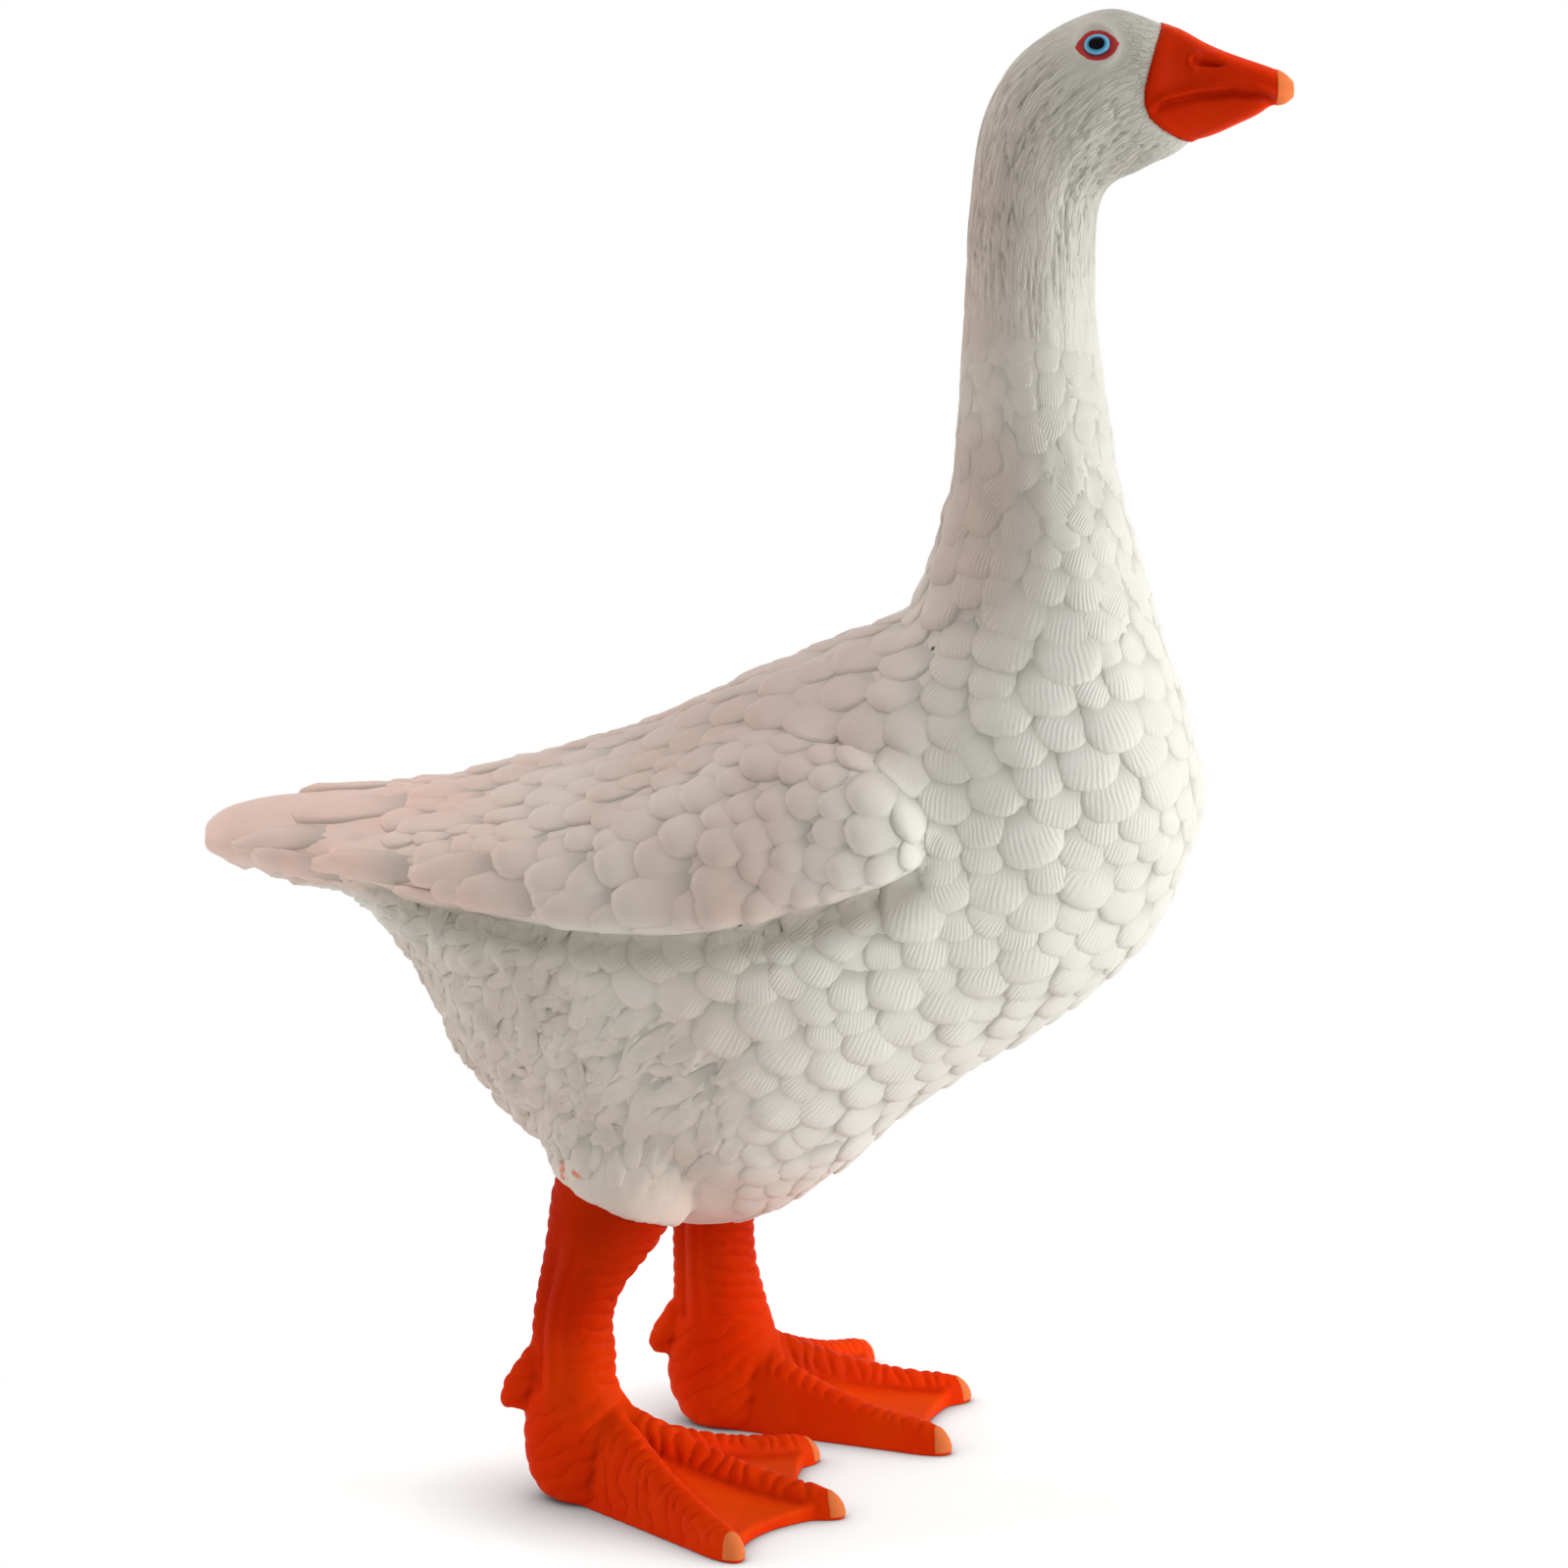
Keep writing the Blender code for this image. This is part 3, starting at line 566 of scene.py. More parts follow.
def featherMesh(name, around, squareness, taper, dome):
    # a closed scale from its root at x = -0.5 to its tip at 0.5
    mesh = bmesh.new()
    rise = mesh.verts.layers.float.new("rise")
    place = mesh.loops.layers.uv.new("featherMap")
    spots = {}

    def addVert(x, y, height):
        vert = mesh.verts.new((x, y, 0))
        vert[rise] = height
        spots[vert] = (0.5 + math.atan2(y, x + 1.5) / math.pi, x + 0.5)
        return vert

    def slopeAt(x):
        # height of the middle line, from the sunken root to the tip
        return featherRings["root"] + (1 - featherRings["root"]) * max(x + 0.5, 0) ** 0.85

    def ringAt(share, height):
        row = []
        for k in range(around):
            # closer together at the tip
            turn = 2 * math.pi * k / around - math.pi
            turn *= 0.6 + 0.4 * abs(turn) / math.pi
            x = 0.5 * math.cos(turn) * share
            y = 0.5 * math.copysign(abs(math.sin(turn)) ** squareness, math.sin(turn)) * share
            y *= 1 - taper * (0.5 - x)
            domed = height * slopeAt(x) * (1 - dome * (2 * y) ** 2)
            row.append(addVert(x, y, domed if height > 0 else height))
        return row

    middle = addVert(0, 0, slopeAt(0))
    rows = [ringAt(*ring) for ring in featherRings["top"]]
    below = addVert(0, 0, featherRings["bottom"])
    for k in range(around):
        j = (k + 1) % around
        mesh.faces.new((middle, rows[0][k], rows[0][j]))
        for near, far in zip(rows, rows[1:]):
            mesh.faces.new((near[k], far[k], far[j], near[j]))
        mesh.faces.new((below, rows[-1][j], rows[-1][k]))
    for face in mesh.faces:
        face.smooth = True
        for loop in face.loops:
            loop[place].uv = spots[loop.vert]
    data = bpy.data.meshes.new(name)
    mesh.to_mesh(data)
    mesh.free()
    return bpy.data.objects.new(name, data)


def join(tree, value, socket):
    # links a socket, or sets a plain value
    if isinstance(value, bpy.types.NodeSocket):
        tree.links.new(value, socket)
    else:
        socket.default_value = value


def newNode(tree, kind, settings=None, *first, **values):
    # a node with its settings, its first inputs in order and other inputs by name
    node = tree.nodes.new(kind)
    for key, value in (settings or {}).items():
        setattr(node, key, value)
    for value, socket in zip(first, node.inputs):
        join(tree, value, socket)
    for key, value in values.items():
        join(tree, value, node.inputs[key.replace("_", " ")])
    return node


def nodeGroup(name, kind, inputs, outputs):
    # a node tree with named inputs, its input sockets and its output sockets
    tree = bpy.data.node_groups.new(name, kind)
    for label, sort, value in inputs:
        socket = tree.interface.new_socket(label, in_out="INPUT", socket_type="NodeSocket" + sort)
        if value is not None:
            socket.default_value = value
    for label, sort in outputs:
        tree.interface.new_socket(label, in_out="OUTPUT", socket_type="NodeSocket" + sort)
    return tree, tree.nodes.new("NodeGroupInput").outputs, tree.nodes.new("NodeGroupOutput").inputs


def math2(tree, operation, first, second=0.0, third=0.0):
    return newNode(tree, "ShaderNodeMath", {"operation": operation}, first, second, third).outputs[0]


def times(tree, first, *others):
    for other in others:
        first = math2(tree, "MULTIPLY", first, other)
    return first


def vector2(tree, operation, first, second):
    return newNode(tree, "ShaderNodeVectorMath", {"operation": operation}, first, second).outputs[0]


def named(tree, name, kind="FLOAT_VECTOR"):
    node = newNode(tree, "GeometryNodeInputNamedAttribute", {"data_type": kind}, Name=name)
    return node.outputs["Attribute"]


def partsOf(tree, place):
    return newNode(tree, "ShaderNodeSeparateXYZ", None, place).outputs


def placeIn(tree):
    return newNode(tree, "ShaderNodeTexCoord").outputs["Object"]


def noiseAt(tree, place, scale, detail):
    return newNode(tree, "ShaderNodeTexNoise", None, Vector=place, Scale=scale, Detail=detail).outputs["Fac"]


def valueOf(tree, name, output="Fac"):
    return newNode(tree, "ShaderNodeAttribute", {"attribute_name": name}).outputs[output]


def nearestOn(tree, skin, value):
    # the value at the point of the skin that lies nearest
    nearest = {"data_type": "FLOAT_VECTOR"}
    return newNode(tree, "GeometryNodeSampleNearestSurface", nearest, Mesh=skin, Value=value).outputs[0]


def featherTree():
    # feathers on points, turned along the flow and wrapped to the skin under them
    inputs = [
        ("Geometry", "Geometry", None),
        ("Feather", "Object", None),
        ("Skin", "Object", None),
        ("Size Change", "Float", 0.08),
        ("Seed", "Int", None),
        ("Finish", "Material", None),
    ]
    tree, given, ended = nodeGroup("layFeathers", "GeometryNodeTree", inputs, [("Geometry", "Geometry")])
    size = named(tree, "size")
    least = math2(tree, "SUBTRACT", 1.0, given["Size Change"])
    most = math2(tree, "ADD", 1.0, given["Size Change"])
    change = newNode(tree, "FunctionNodeRandomValue", {"data_type": "FLOAT"}, Seed=given["Seed"])
    join(tree, least, change.inputs[2])
    join(tree, most, change.inputs[3])
    scaled = newNode(tree, "ShaderNodeVectorMath", {"operation": "SCALE"}, size, Scale=change.outputs[1])
    # length and width from the seat, and the height left for the lift
    flat = vector2(tree, "MULTIPLY", scaled.outputs[0], (1, 1, 0))
    thick = vector2(tree, "ADD", flat, (0, 0, 1))

    axes = {"primary_axis": "Z", "secondary_axis": "X"}
    turned = newNode(tree, "FunctionNodeAxesToRotation", axes, named(tree, "facing"), named(tree, "flow"))
    twist = named(tree, "twist", "FLOAT")
    spin = newNode(tree, "FunctionNodeAxisAngleToRotation", None, Axis=(0, 0, 1), Angle=twist)
    local = {"rotation_space": "LOCAL"}
    aimed = newNode(tree, "FunctionNodeRotateRotation", local, turned.outputs[0], spin.outputs[0])
    feather = newNode(tree, "GeometryNodeObjectInfo", None, Object=given["Feather"])
    placed = newNode(
        tree,
        "GeometryNodeInstanceOnPoints",
        Points=given["Geometry"],
        Instance=feather.outputs["Geometry"],
        Rotation=aimed.outputs[0],
        Scale=thick,
    )
    real = newNode(tree, "GeometryNodeRealizeInstances", None, Geometry=placed.outputs[0])

    skin = newNode(tree, "GeometryNodeObjectInfo", None, Object=given["Skin"]).outputs["Geometry"]
    spot = nearestOn(tree, skin, newNode(tree, "GeometryNodeInputPosition").outputs[0])
    up = nearestOn(tree, skin, named(tree, "facing"))
    lift = partsOf(tree, size)[2]
    rise = named(tree, "rise", "FLOAT")
    # a thin feather still sinks its rim under the skin
    sunk = times(tree, math2(tree, "MINIMUM", rise, 0.0), featherRings["sunk"] * mm)
    height = math2(tree, "MULTIPLY_ADD", rise, lift, sunk)
    offset = newNode(tree, "ShaderNodeVectorMath", {"operation": "SCALE"}, up, Scale=height).outputs[0]
    wrapped = newNode(tree, "GeometryNodeSetPosition", Geometry=real.outputs[0], Position=spot, Offset=offset)
    finish = given["Finish"]
    painted = newNode(tree, "GeometryNodeSetMaterial", Geometry=wrapped.outputs[0], Material=finish)
    join(tree, painted.outputs[0], ended[0])
    return tree


def layFeathers(tree, name, surface, seats, feather, skin, finish):
    # one piece of feathers, made by the tree on a cloud of seats
    chance = np.random.default_rng(plumage["seed"] + len(seats))
    cloud = bpy.data.meshes.new(name)
    index = np.array([i for i, kind, size in seats])
    sizes = np.array([size for i, kind, size in seats]) * mm
    sizes[:, 2] *= chance.uniform(*plumage["liftChange"], len(seats))
    barbs = np.array([featherKinds[kind][3] for i, kind, size in seats])
    twist = np.array([featherKinds[kind][4] for i, kind, size in seats]) * math.radians(plumage["twist"])
    cloud.vertices.add(len(seats))
    setPoints(cloud, surface.points[index])
    setShares(cloud, "size", sizes, "FLOAT_VECTOR")
    setShares(cloud, "facing", surface.normals[index], "FLOAT_VECTOR")
    setShares(cloud, "flow", surface.flow[index], "FLOAT_VECTOR")
    setShares(cloud, "barbs", barbs)
    setShares(cloud, "tone", chance.uniform(0, 1, len(seats)))
    setShares(cloud, "twist", chance.normal(0, 1, len(seats)) * twist)
    made = linkObject(name, cloud)
    laid = made.modifiers.new("lay", "NODES")
    laid.node_group = tree
    inputs = {item.name: item.identifier for item in tree.interface.items_tree if item.in_out == "INPUT"}
    values = {"Feather": feather, "Skin": skin, "Size Change": plumage["sizeChange"]}
    values.update({"Seed": plumage["seed"], "Finish": finish})
    for key, value in values.items():
        laid[inputs[key]] = value
    data = plainMesh(made, name)
    setShares(data, "shade", wingShade(getPoints(data)))
    return linkObject(name, data)


# head and bill
head = {
    "eye": (17.68, 74.10),
    "eyeSize": 0.66,
    "hairDepth": 0.15,
    "hairGap": 0.33,
    "hairLength": 2.4,
    "fade": (56.5, 66.0),
}

bill = {
    # the paint edge from the forehead to the throat, seen from the side: x, z
    "edge": [
        (21.10, 75.6), (20.95, 74.9), (20.6, 74.1), (20.25, 73.0), (20.0, 72.0),
        (20.02, 71.2), (20.3, 70.5), (20.95, 69.9), (21.8, 69.35), (22.9, 68.9),
    ],
    "proud": 0.07,
    "ridge": 0.22,
    "groove": 0.30,
    "mouth": [(20.2, 71.15), (21.0, 71.50), (22.6, 71.78), (24.4, 71.90), (25.6, 71.75), (26.6, 71.45)],
    "nostril": (23.1, 73.15),
    "nail": 26.75,
}


def edgeDistance(x, z):
    # how far a point lies in front of the paint edge, seen from the side
    edge = np.array(bill["edge"])
    return x - np.interp(-z, -edge[:, 1], edge[:, 0])


def gridNormals(rings):
    along = np.gradient(rings, axis=0)
    around = np.roll(rings, -1, axis=1) - np.roll(rings, 1, axis=1)
    normals = np.cross(along, around)
    normals /= np.maximum(np.linalg.norm(normals, axis=2, keepdims=True), 1e-9)
    outward = rings - rings.mean(axis=1, keepdims=True)
    flip = np.sign((normals * outward).sum(2).mean())
    return normals * flip


def headRings():
    steps = gooseShape["headSteps"] // 1
    rows = splineRows(gooseShape["sections"], steps)[int(gooseShape["headStart"] * steps) :]
    rings = ringPoints(rows, gooseShape["headAround"])
    station = gooseShape["headStart"] + np.arange(len(rows)) / steps
    return rings, gridNormals(rings), station


def hairMoves(rings, station):
    # grooves that run along the head and down the neck
    length = np.linalg.norm(np.diff(rings, axis=0), axis=2).mean(axis=1)
    travel = np.concatenate([[0], np.cumsum(length)])
    girth = np.linalg.norm(np.diff(rings, axis=1), axis=2).sum(axis=1)
    count = rings.shape[1]
    move = np.zeros(rings.shape[:2])
    spots = np.zeros(rings.shape)
    for i in range(len(rings)):
        radius = girth[i] / (2 * math.pi)
        for j in range(count):
            turn = 2 * math.pi * j / count
            spot = Vector((math.cos(turn), math.sin(turn), 0)) * radius / head["hairGap"]
            spot.z = travel[i] / head["hairLength"]
            spots[i, j] = spot
            wave = noise.noise(spot)
            patch = 0.65 + 0.9 * noise.noise(spot * 0.3 + Vector((7, 3, 1)))
            lump = noise.noise(Vector((spot.x * 0.35, spot.y * 0.35, travel[i] * 0.35)))
            groove = max(0.0, 1 - abs(wave) / 0.16)
            move[i, j] = 0.12 * lump - head["hairDepth"] * max(0.0, patch) * groove
    return move, spots


def makeHead(rings, normals, station):
    x, y, z = np.moveaxis(rings, 2, 0)
    inFront = edgeDistance(x, z)
    eyeX, eyeZ = head["eye"]
    fromEye = np.hypot((x - eyeX) * 0.92, z - eyeZ)
    onSide = np.abs(y) > 1.2
    face = ramp(fromEye, 1.3, 3.0) * ramp(-inFront, 0.4, 2.2)
    move, spots = hairMoves(rings, station)
    fade = 0.30 + 0.70 * ramp(z, *head["fade"])
    move *= (0.12 + 0.88 * face) * (1 - 0.55 * ramp(z, 74.4, 75.4)) * fade
    lid = 0.12 * hump(fromEye - 0.86, 0.18) - 0.03 * hump(fromEye - 1.45, 0.35)
    brow = 0.10 * hump(z - eyeZ - 1.0 - 0.10 * (x - eyeX), 0.30, x - eyeX, 1.3)
    move += onSide * (lid + brow)
    move -= 0.30 * ramp(inFront, 0.05, 0.5)
    move -= 0.30 * ramp(gooseShape["neckSeam"] - station, 0.0, 0.35)[:, None]
    points = rings + normals * move[:, :, None]
    last = int(np.argmax(inFront.min(axis=1) > 0.6))
    mesh = bmesh.new()
    addLoft(mesh, points[: last + 1])
    made = meshObject("head", mesh)
    # painted shade in the hollows of the head, less of it down the neck
    deep = hollowShares(made.data, 12, 0.07) * fade[: last + 1].ravel()
    setShares(made.data, "deep", deep)
    setShares(made.data, "hairMap", spots[: last + 1].reshape(-1, 3), "FLOAT_VECTOR")
    return made


def makeBill(rings, normals):
    x, y, z = np.moveaxis(rings, 2, 0)
    inFront = edgeDistance(x, z)
    first = int(np.argmax(inFront.max(axis=1) > -0.5))
    sideways = ramp(np.abs(y), 0.25, 0.7)
    mouth = np.interp(x, *np.array(bill["mouth"]).T)
    along = ramp(x, 20.2, 20.9) * (1 - ramp(x, 26.2, 26.9)) * sideways
    move = -0.45 + (0.45 + bill["proud"]) * ramp(inFront, -0.16, 0.05)
    move += along * bill["ridge"] * hump(z - mouth - 0.10, 0.20)
    move -= along * bill["groove"] * hump(z - mouth + 0.30, 0.24)
    move -= 0.13 * hump(x - 22.0, 1.2, z - 72.35, 0.55) * sideways
    move += 0.06 * hump(inFront - 0.45, 0.4) * sideways
    noseX, noseZ = bill["nostril"]
    # along the nostril and across it
    u = (x - noseX) * 0.985 + (z - noseZ) * -0.17
    v = (z - noseZ) * 0.985 + (x - noseX) * 0.17
    slit = hump((u - 0.1) ** 2, 0.80**2, v, 0.13 + 0.06 * np.clip(0.5 - u, 0, 1))
    rim = hump(np.hypot((u + 0.60) / 0.9, v) - 0.30, 0.14) * (1 - ramp(u, -0.7, 0.1))
    lip = hump((u - 0.1) ** 2, 0.9**2, v - 0.30, 0.16)
    move += sideways * (0.10 * rim + 0.07 * lip - 0.40 * slit)
    nail = ramp(x, bill["nail"] - 0.10, bill["nail"] + 0.02)
    move += 0.05 * nail
    points = rings + normals * move[:, :, None]
    points = points[first:]
    centre = points[0].mean(axis=0)
    inner = centre + (points[0] - centre) * 0.5
    mesh = bmesh.new()
    addLoft(mesh, [inner + np.array((0.3, 0, 0))] + list(points))
    made = meshObject("bill", mesh)
    pale = np.zeros(len(made.data.vertices))
    deep = np.zeros(len(pale))
    count = rings.shape[1]
    pale[count:] = nail[first:].ravel()
    # painted shade in the nostril, along the mouth groove and in the hollow near the base of the bill
    billHollowShade = 0.9 * sideways * slit + 0.75 * along * hump(z - mouth + 0.30, 0.26)
    billHollowShade += 0.5 * hump(x - 21.9, 1.3, z - 72.3, 0.6)
    deep[count:] = np.clip(billHollowShade[first:].ravel(), 0, 1)
    setShares(made.data, "pale", pale)
    setShares(made.data, "deep", deep)
    return made


def makeEye(side, headPiece):
    # a low dome set in the lids
    mesh = bmesh.new()
    out = mesh.verts.layers.float.new("out")
    corners = [v.co.copy() for v in headPiece.data.vertices]
    tree = BVHTree.FromPolygons(corners, [p.vertices[:] for p in headPiece.data.polygons])
    eyeX, eyeZ = head["eye"]
    spots = []
    for x, z in ((0.6, 0), (-0.6, 0), (0, 0.6), (0, -0.6)):
        spots.append(tree.ray_cast(Vector((eyeX + x, side * 8, eyeZ + z)) * mm, Vector((0, -side, 0)))[0])
    hit = sum(spots, Vector()) / len(spots)
    normal = (spots[2] - spots[3]).cross(spots[0] - spots[1]).normalized()
    normal *= 1 if normal.y * side > 0 else -1
    across = Vector((1, 0, 0)) - normal * normal.x
    across.normalize()
    up = normal.cross(across) * (1 if normal.cross(across).z > 0 else -1)
    size = head["eyeSize"]
    rings = []
    around = 56
    for share in (0.12, 0.25, 0.38, 0.46, 0.54, 0.66, 0.78, 0.88, 0.95, 1.0, 1.08):
        height = 0.34 * math.sqrt(max(0.0, 1 - (share * 0.9) ** 2)) - 0.05 if share < 1.05 else -0.45
        row = []
        for k in range(around):
            turn = 2 * math.pi * k / around
            offset = across * (math.cos(turn) * size * share) + up * (math.sin(turn) * size * 0.88 * share)
            vert = mesh.verts.new(hit / mm + offset + normal * height)
            vert[out] = share
            row.append(vert)
        rings.append(row)
    middle = mesh.verts.new(hit / mm + normal * 0.29)
    back = mesh.verts.new(hit / mm - normal * 0.5)
    back[out] = 1.0
    for k in range(around):
        j = (k + 1) % around
        mesh.faces.new((middle, rings[0][k], rings[0][j]))
        for near, far in zip(rings, rings[1:]):
            mesh.faces.new((near[k], far[k], far[j], near[j]))
        mesh.faces.new((back, rings[-1][j], rings[-1][k]))
    return meshObject("eye" + ("Left" if side > 0 else "Right"), mesh)


# legs and feet
legs = {
    "side": 6.2,
    "heel": {-1: -9.6, 1: -2.7},
    # height, back edge and front edge from the heel, half width
    "shank": {
        -1: [
            (0.0, 0.0, 4.6, 1.6), (0.4, -0.6, 4.9, 2.0), (1.1, -1.1, 5.0, 2.2), (2.1, -1.38, 5.0, 2.25),
            (3.3, -1.50, 4.8, 2.2), (4.4, -1.45, 4.3, 2.1), (6.3, -1.25, 3.25, 1.95), (7.8, -1.10, 3.2, 1.85),
            (9.1, -1.05, 3.05, 1.8), (10.7, -0.85, 3.35, 1.85), (12.0, -0.62, 4.15, 2.0),
            (13.1, -0.42, 5.05, 2.2), (14.5, -0.22, 6.0, 2.4), (16.5, 0.1, 7.2, 2.7), (19.0, 1.2, 8.2, 2.8),
        ],
        1: [
            (0.0, 0.0, 4.6, 1.6), (0.4, -0.4, 4.9, 2.0), (1.0, -0.75, 5.1, 2.2), (2.0, -1.15, 5.1, 2.25),
            (3.2, -1.25, 5.0, 2.2), (4.5, -1.15, 4.7, 2.1), (5.8, -1.0, 4.25, 1.95), (7.3, -0.95, 3.8, 1.85),
            (9.0, -0.95, 3.42, 1.8), (11.0, -0.95, 3.3, 1.85), (12.7, -0.75, 3.5, 2.0),
            (14.5, -0.4, 4.1, 2.2), (17.0, 0.3, 5.2, 2.5), (19.0, 1.0, 6.0, 2.6),
        ],
    },
    # the fin of the hind toe: distance behind the heel and height of its middle line,
    # width and height of the section
    "hindToe": {
        -1: [
            (-0.2, 9.4, 0.9, 0.9), (0.30, 8.4, 1.2, 1.2), (0.85, 7.4, 1.35, 1.5), (1.35, 6.5, 1.45, 1.7),
            (1.75, 5.85, 1.35, 1.7), (2.10, 5.40, 1.15, 1.4), (2.40, 5.15, 0.85, 1.0), (2.62, 5.05, 0.4, 0.5),
        ],
        1: [
            (-0.2, 7.6, 0.9, 0.9), (0.25, 6.8, 1.2, 1.2), (0.65, 6.0, 1.35, 1.5), (1.05, 5.25, 1.45, 1.6),
            (1.40, 4.75, 1.35, 1.6), (1.70, 4.40, 1.15, 1.3), (1.98, 4.20, 0.85, 0.9), (2.18, 4.12, 0.4, 0.5),
        ],
    },
    # back height and edge, front height and edge, half width, shift inwards
    "thigh": {
        -1: [
            (26.0, 2.5, 26.0, 10.0, 2.2, 3.0), (22.5, -0.4, 22.0, 10.0, 3.5, 2.2),
            (19.0, -0.45, 17.6, 8.6, 3.4, 1.3), (16.8, 0.10, 14.3, 6.5, 2.8, 0.9),
        ],
        1: [
            (25.0, 1.0, 25.0, 8.0, 2.2, 3.0), (21.0, -0.8, 20.0, 7.5, 3.5, 2.2),
            (17.0, -0.9, 15.8, 6.0, 3.1, 1.3), (14.0, -0.8, 12.8, 4.3, 2.5, 0.9),
        ],
    },
    # length and angle of each toe from the heel, height against the middle toe
    "toes": ((14.1, 47, 1.0), (15.3, 13, 1.0), (14.8, -23, 0.84)),
    # sections along a toe, as shares of its length
    "toeSteps": [
        -0.04, 0.0, 0.08, 0.16, 0.25, 0.34, 0.43, 0.52, 0.61, 0.70, 0.78, 0.85, 0.90, 0.94, 0.97, 0.99, 1.0,
    ],
    "ankle": 2.2,
    "crest": (1.50, 4.6, 1.70),
    "halfWidth": (0.84, 0.80),
    "webDrop": 0.62,
    "webHollow": 0.38,
    "ringGap": 0.74,
    "plateGap": 1.15,
    "voxel": 0.12,
}


def shankAt(side, z):
    rows = np.array(legs["shank"][side])
    return [np.interp(z, rows[:, 0], rows[:, k]) for k in (1, 2, 3)]


def shankMiddle(side, z):
    return side * (legs["side"] - 1.1 * float(ramp(z, 10.5, 18.0)))


def addShank(mesh, side):
    rings = []
    turn = np.linspace(0, 2 * math.pi, 40, endpoint=False)
    for row in splineRows(legs["shank"][side], 4):
        z, back, front, half = row[:4]
        x = legs["heel"][side] + (back + front) / 2 + (front - back) / 2 * np.cos(turn)
        y = shankMiddle(side, z) + half * np.sin(turn)
        rings.append(np.stack([x, y, np.full(len(turn), z)], axis=1))
    addLoft(mesh, rings)


def tube(points, widths, heights, sides=20):
    run = Vector(points[-1]) - Vector(points[0])
    across = Vector((-run.y, run.x, 0)).normalized()
    rings = []
    count = len(points)
    for i, (point, width, height) in enumerate(zip(points, widths, heights)):
        ahead = Vector(points[min(i + 1, count - 1)]) - Vector(points[max(i - 1, 0)])
        up = ahead.normalized().cross(across)
        ring = []
        for k in range(sides):
            angle = 2 * math.pi * k / sides
            sideways = across * (math.cos(angle) * width / 2)
            ring.append(Vector(point) + sideways + up * (math.sin(angle) * height / 2))
        rings.append(ring)
    return rings


def addHindToe(mesh, side):
    heel, y = legs["heel"][side], side * legs["side"]
    rows = splineRows([(a, b, c, d, 0, 0) for a, b, c, d in legs["hindToe"][side]], 3)
    points = [(heel - back, y, z) for back, z in rows[:, :2]]
    addLoft(mesh, tube(points, rows[:, 2], rows[:, 3]))
    # the flat root that joins the fin to the shank
    under = [(heel + 0.9, y, points[-8][2] - 0.5), (heel - 0.2, y, points[-8][2] - 0.15), points[-5]]
    addLoft(mesh, tube(under, [1.6, 1.4, 0.9], [2.4, 1.6, 0.9]))


def toeLines(side):
    # ankle, unit run, length and height share of each toe on the ground
    heel, y = legs["heel"][side], side * legs["side"]
    start = np.array((heel + legs["ankle"], y))
    lines = []
    for length, angle, tall in legs["toes"]:
        turn = math.radians(angle)
        tip = np.array((heel + math.cos(turn) * length, y + side * math.sin(turn) * length))
        reach = np.linalg.norm(tip - start)
        lines.append((start, (tip - start) / reach, reach, tall))
    return lines


def toeShape(share, tall):
    # crest height and half width of a toe
    low, drop, power = legs["crest"]
    near = np.clip(1 - share, 0, 1)
    squat = (1 - tall) * ramp(share, 0.0, 0.35) * (1 - ramp(share, 0.55, 0.9))
    crest = (low + drop * near**power) * (1 - squat)
    half = legs["halfWidth"][0] + legs["halfWidth"][1] * near**1.2
    end = np.clip((share - 0.87) / 0.13, 0, 1)
    return crest * np.sqrt(1 - end**2.6 * 0.96), half * np.sqrt(1 - end**2 * 0.97)


def addToe(mesh, line):
    start, run, reach, tall = line
    across = np.array((-run[1], run[0]))
    rings = []
    for share in legs["toeSteps"]:
        crest, half = toeShape(share, tall)
        ring = []
        for angle in np.linspace(-math.pi / 2, math.pi / 2, 21):
            place = start + run * reach * share + across * half * math.sin(angle)
            ring.append((place[0], place[1], crest * max(math.cos(angle), 0) ** 0.75))
        rings.append(ring)
    addLoft(mesh, rings)


def addWeb(mesh, first, second):
    across = np.linspace(0, 1, 21)
    along = np.linspace(0.05, 0.955, 21)
    top = np.zeros((len(along), len(across), 3))
    for i, share in enumerate(along):
        for j, t in enumerate(across):
            hollow = 4 * t * (1 - t)
            reach = share * (1 - 0.10 * hollow)
            ends = []
            for start, run, length, tall in (first, second):
                place = start + run * length * reach
                ends.append(np.array((place[0], place[1], toeShape(min(reach, 0.86), tall)[0])))
            point = ends[0] * (1 - t) + ends[1] * t
            point[2] = max(point[2] - legs["webDrop"] - legs["webHollow"] * hollow, 0.5)
            top[i, j] = point
    low = top.copy()
    low[:, :, 2] = 0
    addSlab(mesh, top, low)


def toeFinder(points, lines, side):
    # nearest toe of each point: its number, share along it and offset outwards from its middle
    flat = points[:, :2]
    best = np.full(len(flat), 9.0)
    found = np.zeros((len(flat), 3))
    for number, (start, run, reach, tall) in enumerate(lines):
        away = flat - start
        share = away @ run / reach
        offset = away @ np.array((-run[1], run[0])) * side
        past = np.maximum(share - 1, 0) + np.maximum(-share, 0)
        miss = np.abs(offset) / toeShape(share, tall)[1] + 4 * past
        closer = miss < best
        best[closer] = miss[closer]
        found[closer] = np.stack([np.full(len(flat), number), share, offset], axis=1)[closer]
    return found, best


def scutes(travel, gap, power):
    # plates in a row: 0 at the joints, 1 between them
    return np.abs(np.sin(math.pi * travel / gap)) ** power


